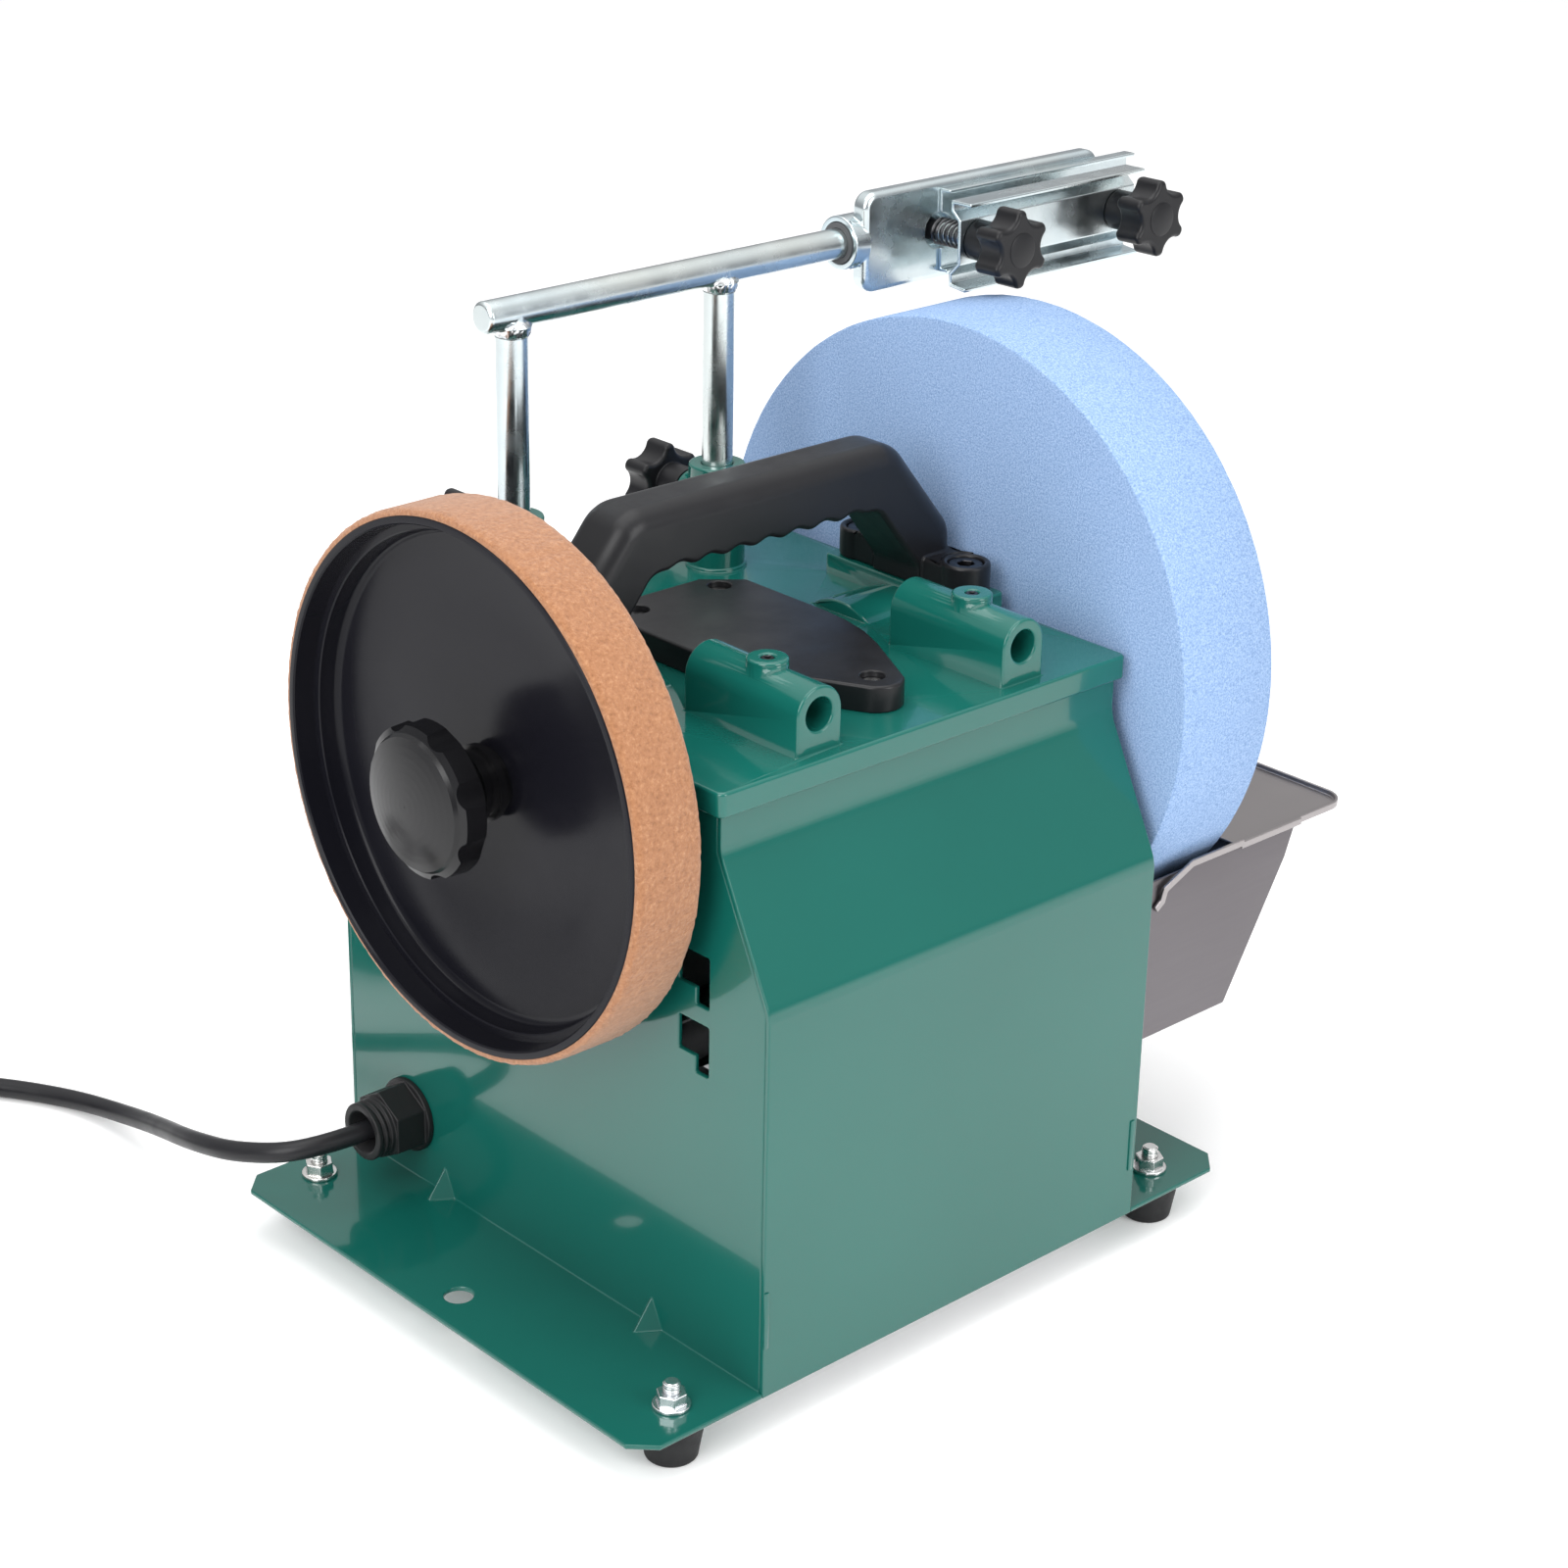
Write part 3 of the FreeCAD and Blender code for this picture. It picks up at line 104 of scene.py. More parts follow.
shade.color_ramp.elements.new(0.3).color = (0.42, 0.42, 0.43, 1)
sky_links.new(where.outputs["Generated"], split.inputs["Vector"])
sky_links.new(split.outputs["Z"], shade.inputs["Fac"])
sky_links.new(shade.outputs["Color"], sky_nodes["Background"].inputs["Color"])
sky_nodes["Background"].inputs["Strength"].default_value = 1.05
scene.world = sky

# ---- Mains cord ---------------------------------------------------------------------------
# Round rubber-sheathed lead, 8 mm thick. It leaves the gland, drops to the bench behind the
# machine and is wound into a neat coil there, with its moulded plug beside the coil.


def dressed(name, colour, rough, metallic=0.0):
    """A new material with its shader's plain values set."""
    made = bpy.data.materials.new(name)
    made.use_nodes = True
    shader = made.node_tree.nodes["Principled BSDF"]
    shader.inputs["Specular IOR Level"].default_value = 0.5 if metallic else 0.3
    shader.inputs["Base Color"].default_value = (*colour, 1)
    shader.inputs["Roughness"].default_value = rough
    shader.inputs["Metallic"].default_value = metallic
    return made, made.node_tree, shader


def grain(tree, scale, detail=3.0, stretch=(1, 1, 1), rough=0.55):
    """Noise over the piece's own coordinates, in cycles per metre."""
    place = tree.nodes.new("ShaderNodeTexCoord")
    turn = tree.nodes.new("ShaderNodeMapping")
    turn.inputs["Scale"].default_value = stretch
    cloud = tree.nodes.new("ShaderNodeTexNoise")
    cloud.inputs["Scale"].default_value = scale
    cloud.inputs["Detail"].default_value = detail
    cloud.inputs["Roughness"].default_value = rough
    tree.links.new(place.outputs["Object"], turn.inputs["Vector"])
    tree.links.new(turn.outputs["Vector"], cloud.inputs["Vector"])
    return cloud.outputs["Fac"]


def ramp(tree, factor, stops):
    """Colours blended along a factor."""
    band = tree.nodes.new("ShaderNodeValToRGB")
    band.color_ramp.elements[0].position = stops[0][0]
    band.color_ramp.elements[0].color = (*stops[0][1], 1)
    band.color_ramp.elements[1].position = stops[-1][0]
    band.color_ramp.elements[1].color = (*stops[-1][1], 1)
    for position, colour in stops[1:-1]:
        band.color_ramp.elements.new(position).color = (*colour, 1)
    tree.links.new(factor, band.inputs["Fac"])
    return band.outputs["Color"]


def spread(tree, factor, low, high):
    """The middle of a noise's range rescaled between two values."""
    fit = tree.nodes.new("ShaderNodeMapRange")
    fit.inputs["From Min"].default_value = 0.3
    fit.inputs["From Max"].default_value = 0.7
    fit.inputs["To Min"].default_value = low
    fit.inputs["To Max"].default_value = high
    tree.links.new(factor, fit.inputs["Value"])
    return fit.outputs["Result"]


def relief(tree, shader, height, depth, strength=1.0):
    """Surface relief, its depth in metres."""
    bump = tree.nodes.new("ShaderNodeBump")
    bump.inputs["Distance"].default_value = depth
    bump.inputs["Strength"].default_value = strength
    tree.links.new(height, bump.inputs["Height"])
    tree.links.new(bump.outputs["Normal"], shader.inputs["Normal"])


sheath, tree, shader = dressed("cord_sheath", (0.012, 0.012, 0.014), 0.36)
tree.links.new(spread(tree, grain(tree, 90), 0.28, 0.42), shader.inputs["Roughness"])
relief(tree, shader, grain(tree, 1500), 0.00004)

cord_thickness = 0.008
lead = [(mid - 0.113, 0.083, 0.0465), (mid - 0.143, 0.084, 0.046), (mid - 0.160, 0.108, 0.041),
        (mid - 0.160, 0.142, 0.032), (mid - 0.152, 0.178, 0.020), (mid - 0.147, 0.213, 0.009),
        (mid - 0.152, 0.246, 0.0044), (mid - 0.170, 0.276, 0.0042), (mid - 0.194, 0.304, 0.0042)]
coil_end = Vector((mid - 0.222, 0.330, 0.0042))
heading = Vector((-0.028, 0.026, 0)).normalized()
outer_turn, inner_turn, layer = 0.0522, 0.0439, 0.0083
coil_centre = coil_end + Vector((-heading.y, heading.x, 0)) * outer_turn
first_angle = math.atan2(-heading.x, heading.y)
steps = 24
stages = [(0.0, outer_turn, 0), (0.82, outer_turn, 0), (0.98, inner_turn, 0), (1.64, inner_turn, 0),
          (1.82, inner_turn, 1), (2.46, inner_turn, 1), (2.63, outer_turn, 1), (3.38, outer_turn, 1),
          (3.55, outer_turn, 2), (4.40, outer_turn, 2)]
last_turn = 4 + (math.pi - first_angle) / (2 * math.pi)
outset = 1.004                # makes up for the curve's cutting of the corners
coil = []
for step in range(int(last_turn * steps) + 1):
    turn = step / steps
    before = [s for s in stages if s[0] <= turn][-1]
    after = [s for s in stages if s[0] > turn][0]
    share = (turn - before[0]) / (after[0] - before[0])
    radius = before[1] + (after[1] - before[1]) * share
    height = coil_end.z + layer * (before[2] + (after[2] - before[2]) * share)
    angle = first_angle + 2 * math.pi * turn
    coil.append((coil_centre.x + radius * math.cos(angle) * outset,
                 coil_centre.y + radius * math.sin(angle) * outset, height))
tail_start = Vector((coil_centre.x - 0.052, coil_centre.y, 0.020))
tail = [tuple(tail_start + Vector(step)) for step in ((0, -0.025, 0), (-0.0025, -0.0505, -0.0007),
                                                      (-0.0075, -0.0755, -0.0014))]
route = lead + coil + tail
line = bpy.data.curves.new("mains_cord", "CURVE")
line.dimensions = "3D"
spline = line.splines.new("NURBS")
spline.points.add(len(route) - 1)
for point, place in zip(spline.points, route):
    point.co = (*place, 1)
spline.order_u = 3
spline.use_endpoint_u = True
spline.resolution_u = 8
line.bevel_depth = cord_thickness / 2
line.bevel_resolution = 5
line.use_fill_caps = True
line.materials.append(sheath)
cord = bpy.data.objects.new("mains_cord", line)
scene.collection.objects.link(cord)
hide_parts("cord_lead", "cord_coil", "cord_tail")
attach(cord, "housing")

# ---- Plug on the cord's end ---------------------------------------------------------------
# Moulded black plug with two round brass pins; the plug is one rubber moulding round the
# cord's end, so it has soft rounded edges and a fine matt grain.


def kept(coat, *names):
    """CAD nodes shown as they are, in their material."""
    for name in names:
        nodes[name].data.materials.clear()
        nodes[name].data.materials.append(coat)


moulding, tree, shader = dressed("plug_rubber", (0.014, 0.014, 0.015), 0.5)
tree.links.new(spread(tree, grain(tree, 120), 0.42, 0.58), shader.inputs["Roughness"])
relief(tree, shader, grain(tree, 2400), 0.00003)
kept(moulding, "mains_plug")
brass, tree, shader = dressed("plug_brass", (0.78, 0.58, 0.28), 0.25, 1.0)
tree.links.new(spread(tree, grain(tree, 600), 0.18, 0.32), shader.inputs["Roughness"])
kept(brass, "plug_pins")

# ---- Cable gland --------------------------------------------------------------------------
# Black nylon gland that grips the cord: a hexagon screwed against the left panel, a ringed
# clamping cap and a flared mouth. A nylon nut holds it from inside.


def in_steps(mesh):
    """Smooth shading that keeps edges sharper than 32 degrees."""
    mesh.shade_smooth()
    mesh.set_sharp_from_angle(angle=math.radians(32))


def plain_mesh(thing, stepped=True):
    """The thing's modifiers worked into a mesh of its own."""
    bpy.context.view_layer.update()
    solid = bpy.data.meshes.new_from_object(thing.evaluated_get(bpy.context.evaluated_depsgraph_get()))
    thing.modifiers.clear()
    thing.data = solid
    if stepped:
        in_steps(solid)
    return thing


def declared(thing, body, slot, *stands_for):
    """The piece attached to its body, and the CAD nodes it is shown instead of hidden; the slot argument is
    not used.
    """
    if stands_for:
        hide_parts(*stands_for)
    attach(thing, body)
    return thing


def softened(name, body, slot, coat, width, fold=0.0, angle=32, hollows=True):
    """A CAD node's form with its edges rounded over, its shallow folds more widely.

    Edges in hollows stay sharp where hollows is false.
    """
    form = bmesh.new()
    form.from_mesh(nodes[name].data)
    bmesh.ops.remove_doubles(form, verts=form.verts, dist=2e-6)
    if fold:
        bmesh.ops.dissolve_limit(form, angle_limit=math.radians(0.6), verts=form.verts, edges=form.edges)
        shallowest, deepest = math.radians(18), math.radians(34)
        bends = [edge for edge in form.edges if len(edge.link_faces) == 2
                 and shallowest < edge.calc_face_angle(0) < deepest]
        bmesh.ops.bevel(form, geom=bends, offset=fold, segments=5, profile=0.5, affect="EDGES")
    if not hollows:
        marks = form.edges.layers.float.new("bevel_weight_edge")
        for edge in form.edges:
            edge[marks] = float(edge.calc_face_angle_signed(0) > math.radians(angle))
    mesh = bpy.data.meshes.new(name + "_form")
    form.to_mesh(mesh)
    form.free()
    mesh.materials.append(coat)
    mesh.shade_smooth()
    piece = bpy.data.objects.new(name + "_soft", mesh)
    scene.collection.objects.link(piece)
    rounding = piece.modifiers.new("rounding", "BEVEL")
    rounding.width = width
    rounding.segments = 3
    rounding.limit_method = "ANGLE" if hollows else "WEIGHT"
    rounding.angle_limit = math.radians(angle)
    rounding.use_clamp_overlap = False
    rounding.loop_slide = False
    rounding.miter_outer = "MITER_ARC"
    flats = piece.modifiers.new("flats", "WEIGHTED_NORMAL")
    flats.weight = 100
    return declared(plain_mesh(piece, False), body, slot, name)


nylon, tree, shader = dressed("gland_nylon", (0.012, 0.012, 0.013), 0.42)
tree.links.new(spread(tree, grain(tree, 180), 0.36, 0.5), shader.inputs["Roughness"])
relief(tree, shader, grain(tree, 1900), 0.00003)
softened("cable_gland", "housing", "black_plastic", nylon, 0.0006)
kept(nylon, "gland_locknut")

# ---- Housing panels -----------------------------------------------------------------------
# Powder-coated 2 mm sheet steel: two side panels with an out-turned foot flange, a folded
# front and back panel between them, and a vented zinc-plated bottom plate screwed in.
green, tree, shader = dressed("green_powder_coat", (0.0055, 0.104, 0.087), 0.14)
tree.links.new(ramp(tree, grain(tree, 7, 2.0),
                    [(0.3, (0.005, 0.098, 0.078)), (0.7, (0.0062, 0.110, 0.088))]),
               shader.inputs["Base Color"])
relief(tree, shader, grain(tree, 420, 2.0), 0.00003, 0.3)
shader.inputs["Coat Weight"].default_value = 0.5
shader.inputs["Coat Roughness"].default_value = 0.04
for panel in ("side_panel_left", "side_panel_right"):
    softened(panel, "housing", "painted_steel", green, 0.0006)
for panel in ("front_panel", "back_panel"):
    softened(panel, "housing", "painted_steel", green, 0.0005, fold=0.0035)
for place, x, z0, z1 in (("left", mid - 0.0962, 0.0387, 0.0613), ("right", mid + 0.0942, 0.0383, 0.06)):
    form = bmesh.new()
    bmesh.ops.create_cube(form, size=1.0)
    bmesh.ops.scale(form, verts=form.verts, vec=(0.0022, 0.0008, z1 - z0))
    bmesh.ops.translate(form, verts=form.verts, vec=(x, -0.1217, (z0 + z1) / 2))
    bmesh.ops.bevel(form, geom=form.edges[:], offset=0.00025, segments=2, profile=0.5, affect="EDGES")
    hook_mesh = bpy.data.meshes.new("panel_hook_" + place)
    form.to_mesh(hook_mesh)
    form.free()
    hook_mesh.materials.append(green)
    in_steps(hook_mesh)
    hook = bpy.data.objects.new("panel_hook_" + place, hook_mesh)
    scene.collection.objects.link(hook)
    declared(hook, "housing", "painted_steel")
galvanised, tree, shader = dressed("galvanised_sheet", (0.6, 0.61, 0.62), 0.35, 1.0)
tree.links.new(spread(tree, grain(tree, 140, 2.0), 0.28, 0.45), shader.inputs["Roughness"])
kept(galvanised, "bottom_plate")

# ---- Feet, their studs and nuts -----------------------------------------------------------
# Four tapered black rubber feet, each with a moulded-in M6 stud through the flange and a
# zinc-plated flanged hexagon nut on top; the studs' threads stand out of the nuts.
rubber, tree, shader = dressed("black_rubber", (0.014, 0.014, 0.015), 0.62)
tree.links.new(spread(tree, grain(tree, 200), 0.55, 0.72), shader.inputs["Roughness"])
relief(tree, shader, grain(tree, 900), 0.00005)
for corner in ("front_left", "back_left", "front_right", "back_right"):
    softened("foot_" + corner, "housing", "rubber", rubber, 0.0012)


def plated(name, pale, warm, rough):
    """Bright zinc plating: a faint blue to straw tint and a soft, slightly uneven gloss."""
    made, tree, shader = dressed(name, pale, rough, 1.0)
    tint = ramp(tree, grain(tree, 14, 2.0), [(0.35, pale), (0.68, warm)])
    tree.links.new(tint, shader.inputs["Base Color"])
    gloss = spread(tree, grain(tree, 90, 3.0), rough * 0.75, rough * 1.3)
    tree.links.new(gloss, shader.inputs["Roughness"])
    relief(tree, shader, grain(tree, 420, 2.0), 0.00001, 0.2)
    return made


bolts = plated("zinc_bolts", (0.74, 0.76, 0.78), (0.78, 0.77, 0.74), 0.22)
softened("foot_nuts", "housing", "zinc_steel", bolts, 0.00045)
kept(bolts, "foot_studs")


def thread_group():
    """Geometry Nodes: a round wire wound into a helix at every point of the host mesh."""
    group = bpy.data.node_groups.new("wound_wire", "GeometryNodeTree")
    ids = {}
    group.interface.new_socket("Geometry", in_out="INPUT", socket_type="NodeSocketGeometry")
    for label, kind in (("Turns", "NodeSocketFloat"), ("Radius", "NodeSocketFloat"),
                        ("Height", "NodeSocketFloat"), ("Wire", "NodeSocketFloat"),
                        ("Turned", "NodeSocketVector"), ("Coat", "NodeSocketMaterial")):
        ids[label] = group.interface.new_socket(label, in_out="INPUT", socket_type=kind).identifier
    group.interface.new_socket("Geometry", in_out="OUTPUT", socket_type="NodeSocketGeometry")
    links = group.links
    given = group.nodes.new("NodeGroupInput")
    made = group.nodes.new("NodeGroupOutput")
    spiral = group.nodes.new("GeometryNodeCurveSpiral")
    spiral.inputs["Resolution"].default_value = 28
    wire = group.nodes.new("GeometryNodeCurvePrimitiveCircle")
    wire.inputs["Resolution"].default_value = 10
    swept = group.nodes.new("GeometryNodeCurveToMesh")
    swept.inputs["Fill Caps"].default_value = True
    sown = group.nodes.new("GeometryNodeInstanceOnPoints")
    whole = group.nodes.new("GeometryNodeRealizeInstances")
    clad = group.nodes.new("GeometryNodeSetMaterial")
    for label, socket in (("Turns", "Rotations"), ("Radius", "Start Radius"), ("Radius", "End Radius"),
                          ("Height", "Height")):
        links.new(given.outputs[label], spiral.inputs[socket])
    links.new(given.outputs["Wire"], wire.inputs["Radius"])
    links.new(spiral.outputs["Curve"], swept.inputs["Curve"])
    links.new(wire.outputs["Curve"], swept.inputs["Profile Curve"])
    links.new(given.outputs["Geometry"], sown.inputs["Points"])
    links.new(swept.outputs["Mesh"], sown.inputs["Instance"])
    links.new(given.outputs["Turned"], sown.inputs["Rotation"])
    links.new(sown.outputs["Instances"], whole.inputs["Geometry"])
    links.new(whole.outputs["Geometry"], clad.inputs["Geometry"])
    links.new(given.outputs["Coat"], clad.inputs["Material"])
    links.new(clad.outputs["Geometry"], made.inputs["Geometry"])
    return group, ids


winding, winding_ids = thread_group()


def wound(name, places, turned_by, turns, radius, height, wire, coat, body, slot, *stands_for):
    """Helices at the given places, as one plain mesh."""
    host = bpy.data.meshes.new(name)
    host.from_pydata(places, [], [])
    piece = bpy.data.objects.new(name, host)
    scene.collection.objects.link(piece)
    grower = piece.modifiers.new("winding", "NODES")
    grower.node_group = winding
    values = {"Turns": turns, "Radius": radius, "Height": height, "Wire": wire, "Turned": turned_by,
              "Coat": coat}
    for label, value in values.items():
        grower[winding_ids[label]] = value
    return declared(plain_mesh(piece), body, slot, *stands_for)


stud_tops = [(mid + side * 0.1255, front * 0.1055, 0.0262) for side in (-1, 1) for front in (-1, 1)]
wound("foot_stud_threads", stud_tops, (0, 0, 0), turns=3.6, radius=0.0029, height=0.0036, wire=0.00033,
      coat=bolts, body="housing", slot="zinc_steel")

# ---- Top casting --------------------------------------------------------------------------
# Die-cast aluminium bridge in the same green coat: humps over the shaft bearings, pads for
# the handle, two level and two upright sleeves for the support bar, bosses with set screws.


def turned(name, outline, place, axis, coat, body, slot, *stands_for, steps=96, wear=0.0):
    """A form turned about an axis, from (distance along the axis, radius) points."""
    axis = Vector(axis).normalized()
    side = axis.orthogonal().normalized()
    across = axis.cross(side)
    place = Vector(place)
    form = bmesh.new()
    rings = []
    for along, radius in outline:
        if radius < 1e-7:
            rings.append([form.verts.new(place + axis * along)])
            continue
        ring = []
        for step in range(steps):
            angle = 2 * math.pi * step / steps
            away = side * math.cos(angle) + across * math.sin(angle)
            spot = place + axis * along + away * radius
            ring.append(form.verts.new(spot - away * wear * (0.5 + 0.5 * noise.noise(spot * 900))))
        rings.append(ring)
    for first, second in zip(rings, rings[1:]):
        for step in range(steps):
            turn = (step + 1) % steps
            corners = [first[step % len(first)], first[turn % len(first)],
                       second[turn % len(second)], second[step % len(second)]]
            corners = list(dict.fromkeys(corners))
            if len(corners) > 2:
                form.faces.new(corners)
    bmesh.ops.recalc_face_normals(form, faces=form.faces)
    mesh = bpy.data.meshes.new(name)
    form.to_mesh(mesh)
    form.free()
    mesh.materials.append(coat)
    in_steps(mesh)
    piece = bpy.data.objects.new(name, mesh)
    scene.collection.objects.link(piece)
    return declared(piece, body, slot, *stands_for)


cast, tree, shader = dressed("green_casting_coat", (0.006, 0.110, 0.088), 0.24)
tree.links.new(ramp(tree, grain(tree, 11, 3.0),
                    [(0.3, (0.0053, 0.102, 0.082)), (0.7, (0.0066, 0.117, 0.094))]),
               shader.inputs["Base Color"])
tree.links.new(spread(tree, grain(tree, 60, 3.0), 0.13, 0.2), shader.inputs["Roughness"])
relief(tree, shader, grain(tree, 230, 3.0), 0.00012, 0.4)
shader.inputs["Coat Weight"].default_value = 0.5
shader.inputs["Coat Roughness"].default_value = 0.05
softened("top_casting", "housing", "painted_casting", cast, 0.001, hollows=False)
blackened, tree, shader = dressed("blackened_screws", (0.05, 0.05, 0.055), 0.35, 1.0)
tree.links.new(spread(tree, grain(tree, 500), 0.28, 0.42), shader.inputs["Roughness"])
sleeve_x = {"left": mid - 0.05, "right": mid + 0.05}
for place, x in sleeve_x.items():
    turned("set_screw_" + place,
           [(0, 0.0011), (0.0012, 0.0011), (0.0014, 0.0013), (0.0014, 0.0021), (0.001, 0.0024),
            (-0.005, 0.0024), (-0.005, 0), (0, 0), (0, 0.0011)],
           (x, -0.0664, 0.2687), (0, 0, 1), blackened, "housing", "bright_steel", steps=24)

# ---- Cover plate and its screws -----------------------------------------------------------
# Shield-shaped black moulding on the casting, held by three countersunk socket screws.
satin, tree, shader = dressed("satin_black_moulding", (0.009, 0.009, 0.0105), 0.36)
tree.links.new(spread(tree, grain(tree, 70, 4.0), 0.3, 0.42), shader.inputs["Roughness"])
relief(tree, shader, grain(tree, 2200, 2.0), 0.00003, 0.5)
softened("cover_plate", "housing", "black_plastic", satin, 0.0007)
kept(bolts, "cover_screws")

# ---- Carrying handle and its screws -------------------------------------------------------
# One solid black moulding: a broad bar with shallow finger waves under it, two slanting legs
# and two dog-bone feet, each held to the casting by two socket screws in deep bosses.
softened("handle", "housing", "black_plastic", satin, 0.0012, angle=40)
softened("handle_screws", "housing", "bright_steel", blackened, 0.0004)

# ---- Shaft and its bushes -----------------------------------------------------------------
# Ground 12 mm steel shaft that carries both wheels, in two sintered bronze bushes that are
# pressed into the casting.
ground = plated("ground_steel", (0.66, 0.67, 0.68), (0.70, 0.69, 0.67), 0.18)
kept(ground, "main_shaft")
bronze, tree, shader = dressed("sintered_bronze", (0.5, 0.33, 0.15), 0.5, 1.0)
relief(tree, shader, grain(tree, 1500), 0.00006)
kept(bronze, "shaft_bushes")

# ---- Grindstone, washers and nut ----------------------------------------------------------
# Blue vitrified aluminium-oxide stone, 250 by 50 mm, between two pressed steel washers and
# locked by a hexagon nut; its faces are gritty and its corners slightly worn.
grit, tree, shader = dressed("vitrified_grit", (0.25, 0.375, 0.60), 0.88)
speck = grain(tree, 1300, 4.0, rough=0.85)
tree.links.new(ramp(tree, speck, [(0.38, (0.15, 0.25, 0.45)), (0.5, (0.25, 0.375, 0.60)),
                                  (0.62, (0.37, 0.49, 0.69))]),
               shader.inputs["Base Color"])
relief(tree, shader, speck, 0.0003, 0.6)
shaft_z = 0.2219
turned("grindstone_worn",
       [(0.0, 0.006), (0.0, 0.1236), (0.0004, 0.1245), (0.0013, 0.12495), (0.0487, 0.12495), (0.0496, 0.1245),
        (0.05, 0.1236), (0.05, 0.006), (0.0, 0.006)],
       (mid + 0.1039, 0, shaft_z), (1, 0, 0), grit, "wheel_shaft", "stone", "grindstone", steps=256,
       wear=0.00025)
softened("stone_outer_washer", "wheel_shaft", "zinc_steel", bolts, 0.0008)
softened("stone_nut", "wheel_shaft", "zinc_steel", bolts, 0.0008)
kept(bolts, "stone_inner_washer")

# ---- Leather honing wheel -----------------------------------------------------------------
# Glossy black moulded hub with a dished face; a band of suede leather is glued round its rim
# and a rubber-lined steel ring at its back is driven by the motor's roller.
gloss, tree, shader = dressed("glossy_black_hub", (0.007, 0.007, 0.010), 0.2)
tree.links.new(spread(tree, grain(tree, 30, 3.0), 0.17, 0.25), shader.inputs["Roughness"])
relief(tree, shader, grain(tree, 30, 2.0), 0.00012, 0.3)
shader.inputs["Specular IOR Level"].default_value = 0.13
turned("honing_hub_turned",
       [(0.0, 0.0945), (0.0006, 0.094), (0.0085, 0.0932), (0.0087, 0.0908), (0.0091, 0.0903), (0.0148, 0.09),
        (0.0158, 0.0895), (0.0166, 0.0885), (0.017, 0.087), (0.0171, 0.06), (0.0171, 0.006), (0.0284, 0.006),
        (0.0284, 0.0155), (0.0279, 0.016), (0.0205, 0.016), (0.0205, 0.091), (0.0284, 0.091),
        (0.0284, 0.0965), (0.0279, 0.097), (0.0005, 0.097), (0.0001, 0.0967), (0.0, 0.096), (0.0, 0.0945)],
       (mid - 0.136, 0, shaft_z), (1, 0, 0), gloss, "wheel_shaft", "black_plastic", "honing_hub", steps=192)
suede, tree, shader = dressed("suede", (0.35, 0.155, 0.068), 0.92)
fur = grain(tree, 640, 9.0, rough=0.72)
tree.links.new(ramp(tree, fur, [(0.34, (0.245, 0.102, 0.042)), (0.47, (0.335, 0.148, 0.066)),
                                (0.54, (0.365, 0.166, 0.076)), (0.68, (0.47, 0.245, 0.125))]),
               shader.inputs["Base Color"])
relief(tree, shader, fur, 0.0006, 0.9)
shader.inputs["Sheen Weight"].default_value = 0.3
shader.inputs["Sheen Roughness"].default_value = 0.5
turned("leather_band_worn",
       [(0.0002, 0.097), (0.0002, 0.0985), (0.0006, 0.0993), (0.0014, 0.09975), (0.003, 0.1), (0.0248, 0.1),
        (0.0264, 0.09975), (0.0272, 0.0993), (0.0276, 0.0985), (0.0276, 0.097), (0.0002, 0.097)],
       (mid - 0.1356, 0, shaft_z), (1, 0, 0), suede, "wheel_shaft", "leather", "leather_band", steps=360,
       wear=0.0009)
kept(rubber, "drive_ring")

# ---- Honing wheel's knob ------------------------------------------------------------------
# Black moulded clamping knob on the shaft's left end: a round cap, a scalloped grip behind it
# and a long neck with two collars that presses on the hub.
dome, tree, shader = dressed("smooth_black_knob", (0.007, 0.007, 0.008), 0.22)
tree.links.new(spread(tree, grain(tree, 50, 3.0), 0.18, 0.27), shader.inputs["Roughness"])
relief(tree, shader, grain(tree, 1600, 2.0), 0.00002, 0.4)
kept(dome, "honing_knob")

# ---- Motor, its cradle and the friction drive ---------------------------------------------
# Hidden inside the housing: a finned-end induction motor strapped in a steel cradle that
# swings on a pivot rod, so its weight presses the roller on the wheel's drive ring.
dull, tree, shader = dressed("cast_aluminium", (0.5, 0.5, 0.52), 0.5, 1.0)
tree.links.new(spread(tree, grain(tree, 200), 0.42, 0.58), shader.inputs["Roughness"])
relief(tree, shader, grain(tree, 500), 0.00006)
kept(dull, "motor_casing")
kept(galvanised, "motor_cradle")
kept(ground, "motor_pivot", "motor_spindle", "drive_roller")
can, tree, shader = dressed("grey_capacitor_can", (0.16, 0.17, 0.18), 0.45)
relief(tree, shader, grain(tree, 900), 0.00004)
kept(can, "run_capacitor")

# ---- Support bar --------------------------------------------------------------------------
# Zinc-plated 12 mm round steel: a level bar with two legs welded under it, which slide in the
# casting's upright sleeves.
bar_y, bar_z = 0.0723, 0.3616
zinc = plated("zinc_bar", (0.60, 0.67, 0.69), (0.68, 0.70, 0.66), 0.24)
softened("support_bar", "support", "zinc_steel", zinc, 0.0004)
for place, x in sleeve_x.items():
    turned("weld_bead_" + place,
           [(-0.0004, 0.0045), (-0.0004, 0.0055), (0.0001, 0.0064), (0.0012, 0.0074), (0.0028, 0.0079),
            (0.0042, 0.0081), (0.0055, 0.0077), (0.0066, 0.0064), (0.007, 0.0052), (0.007, 0.0045),
            (-0.0004, 0.0045)],
           (x, bar_y, bar_z - 0.009), (0, 0, 1), bolts, "support", "zinc_steel", steps=72, wear=0.0014)

# ---- Lock knobs ---------------------------------------------------------------------------
# Six-lobed black knobs with a moulded-in screw that clamps each leg in its sleeve, and a
# pressed-in cap in the middle of the head.


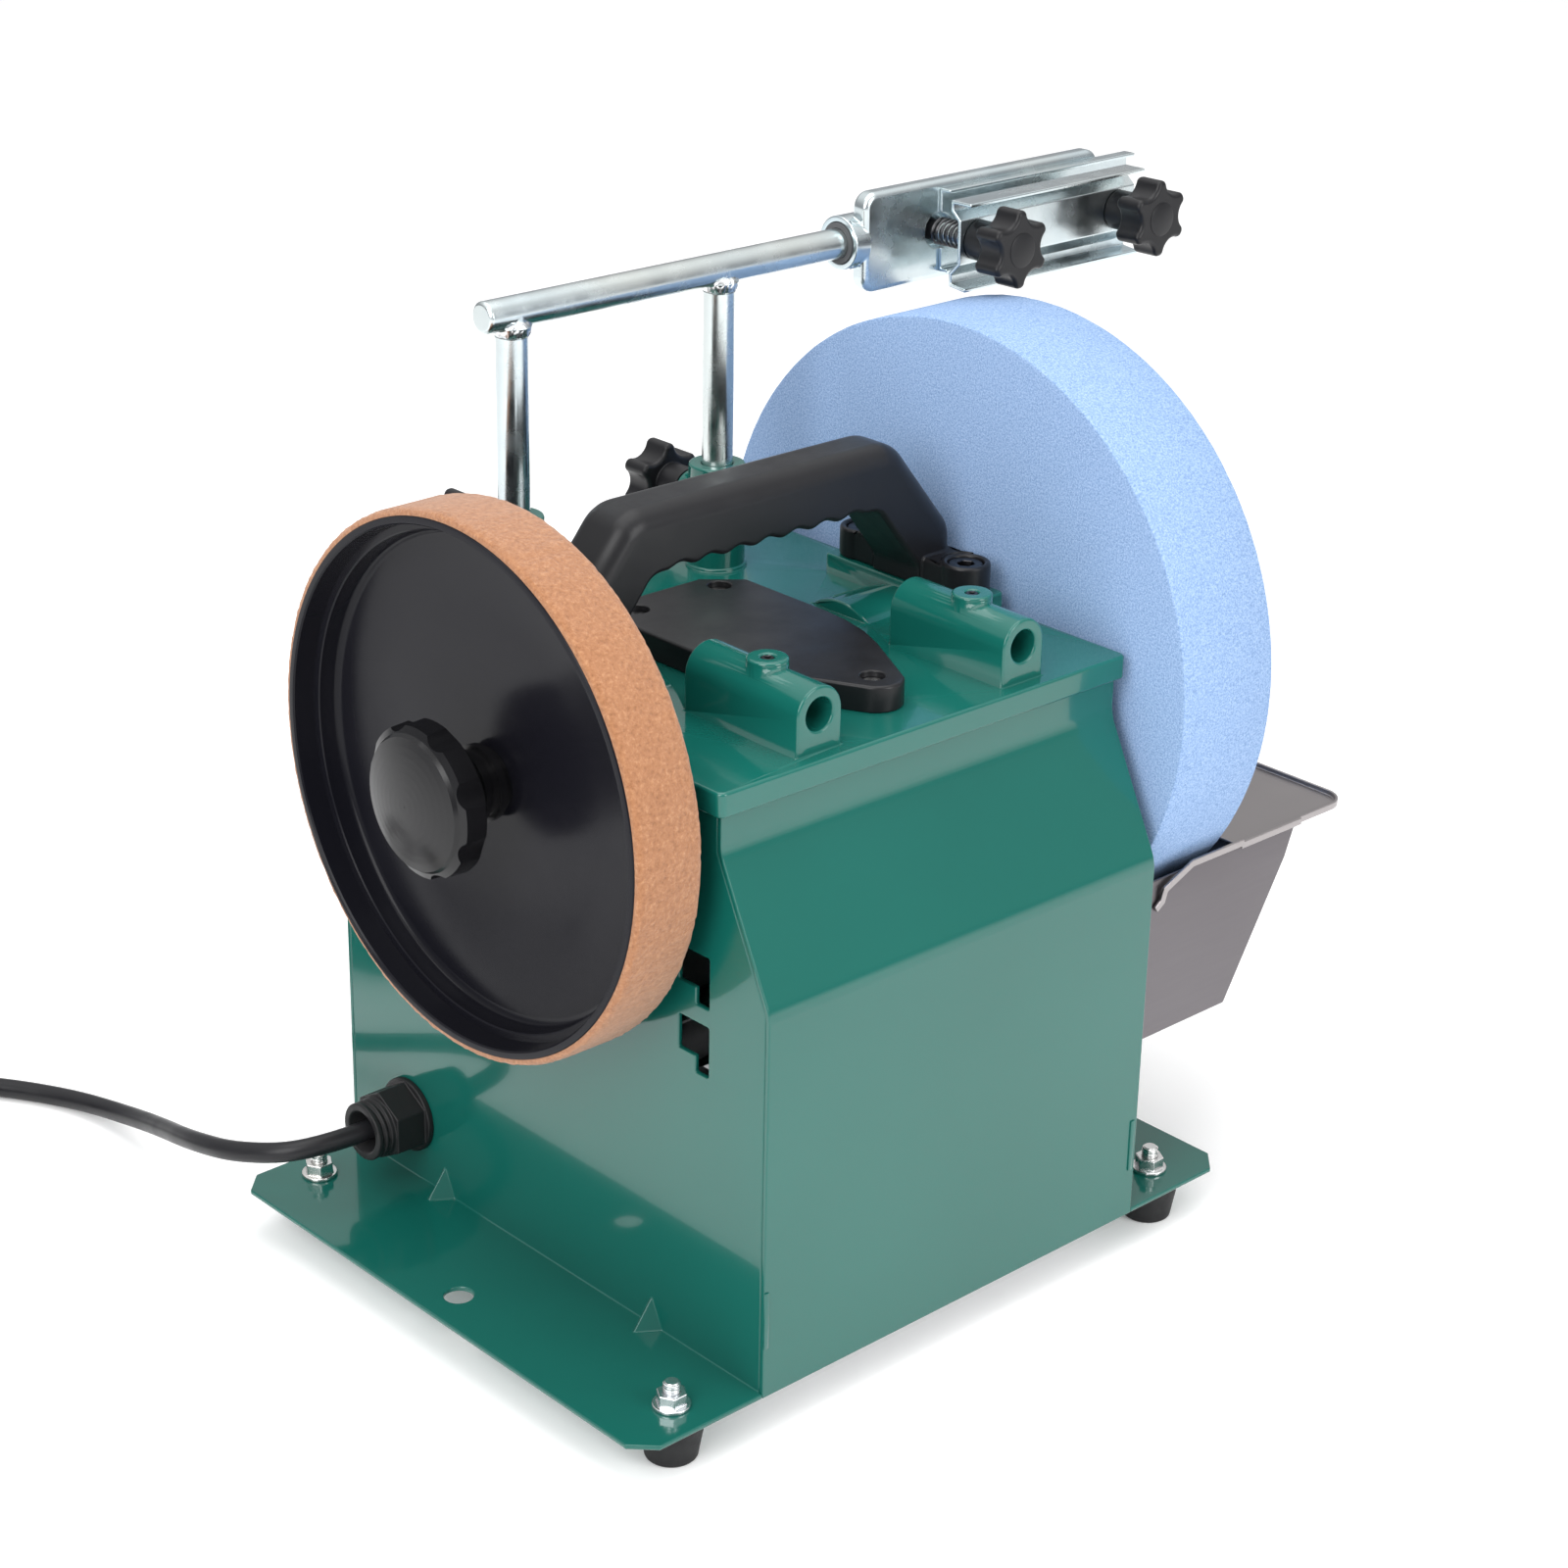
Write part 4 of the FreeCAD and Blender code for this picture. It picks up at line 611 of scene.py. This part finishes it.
def knob_cap(name, place, axis, body):
    """Round cap in a shallow ring groove."""
    outline = [(-0.0008, 0), (0.00035, 0), (0.00035, 0.0062), (0.0001, 0.0068), (-0.0008, 0.0068)]
    return turned(name, outline, place, axis, satin, body, "black_plastic", steps=64)


for place, x in sleeve_x.items():
    softened("lock_knob_" + place, "lock_" + place, "black_plastic", satin, 0.0005)
    knob_cap("lock_knob_cap_" + place, (x, 0.1126, 0.27), (0, 1, 0), "lock_" + place)

# ---- Clamping jig: sleeve and base --------------------------------------------------------
# Heavy zinc-plated steel plate with a collar that slides and tilts on the bar's end in a grey
# plastic bush; two long studs pass through it.
plate = plated("zinc_plate", (0.56, 0.67, 0.72), (0.66, 0.71, 0.71), 0.24)
softened("jig_base", "jig", "zinc_steel", plate, 0.0006)
bush_grey, tree, shader = dressed("dark_grey_bush", (0.09, 0.092, 0.096), 0.5)
relief(tree, shader, grain(tree, 1200), 0.00003)
kept(bush_grey, "jig_bush")

# ---- Clamping jig: jaws and springs -------------------------------------------------------
# Two roll-formed zinc-plated steel strips; the front one is pushed open by two wire springs
# on the studs and pulled in by the knobs.
softened("jig_rear_jaw", "jig", "zinc_steel", plate, 0.0005, angle=25)
softened("jig_front_jaw", "clamp_jaw", "zinc_steel", plate, 0.0005, angle=25)
spring_wire, tree, shader = dressed("spring_wire", (0.09, 0.09, 0.095), 0.3, 1.0)
tree.links.new(spread(tree, grain(tree, 400), 0.24, 0.36), shader.inputs["Roughness"])
tilt = math.radians(-1.0)


def on_jig(x, ahead, height=0.0):
    """A point given by its distance ahead of the bar and above it, on the tilted jig."""
    return (mid + x, bar_y - ahead * math.cos(tilt) - height * math.sin(tilt),
            bar_z - ahead * math.sin(tilt) + height * math.cos(tilt))


stud_x = (0.1575, 0.239)
spring_foot = 0.01            # where the springs' wire begins, ahead of the bar
wound("jig_spring_wires", [on_jig(x, spring_foot) for x in stud_x], (math.pi / 2 + tilt, 0, 0),
      7.5, 0.005, 0.0196, 0.00055, spring_wire, "jig", "zinc_steel", "jig_springs")

# ---- Clamping jig: knobs ------------------------------------------------------------------
# Two six-lobed black knobs like the lock knobs, each on a long zinc-plated stud.
along_stud = (0, -math.cos(tilt), -math.sin(tilt))
for place, x in zip(("left", "right"), stud_x):
    body = "clamp_knob_" + place
    softened("jig_knob_" + place, body, "black_plastic", satin, 0.0005)
    knob_cap("jig_knob_cap_" + place, on_jig(x, 0.0559), along_stud, body)
    turned("jig_stud_plating_" + place, [(0, 0), (0, 0.00403), (0.0212, 0.00403), (0.0212, 0)],
           on_jig(x, spring_foot), along_stud, bolts, body, "zinc_steel", steps=40)

# ---- Water trough -------------------------------------------------------------------------
# Folded and welded stainless sheet that hangs on two studs in the right panel's keyholes, and
# a shallow drip tray spot-welded over it that catches the water thrown by the stone.
stainless, tree, shader = dressed("stainless_sheet", (0.34, 0.315, 0.315), 0.34, 1.0)
tree.links.new(ramp(tree, grain(tree, 5, 2.0), [(0.3, (0.31, 0.29, 0.29)), (0.7, (0.37, 0.345, 0.345))]),
               shader.inputs["Base Color"])
tree.links.new(spread(tree, grain(tree, 700, 2.0, (0.05, 0.05, 1)), 0.3, 0.38), shader.inputs["Roughness"])
# The trough's wall gets a darker copy of the same stainless sheet: painted shade, so the wall reads darker
# than the tray.
painted_shade_stainless, tree, shader = dressed("stainless_wall_painted_shade", (0.145, 0.134, 0.142), 0.36, 1.0)
tree.links.new(ramp(tree, grain(tree, 5, 2.0), [(0.3, (0.13, 0.12, 0.128)), (0.7, (0.16, 0.149, 0.157))]),
               shader.inputs["Base Color"])
tree.links.new(spread(tree, grain(tree, 700, 2.0, (0.05, 0.05, 1)), 0.32, 0.4), shader.inputs["Roughness"])
softened("water_trough", "trough", "stainless", painted_shade_stainless, 0.0005)
softened("trough_tray", "trough", "stainless", stainless, 0.0004)
kept(bolts, "trough_studs")

# ---- Mains switch -------------------------------------------------------------------------
# Black snap-in rocker switch in the back panel.
softened("switch_body", "housing", "black_plastic", satin, 0.0004)
softened("switch_rocker", "rocker", "black_plastic", dome, 0.0004)
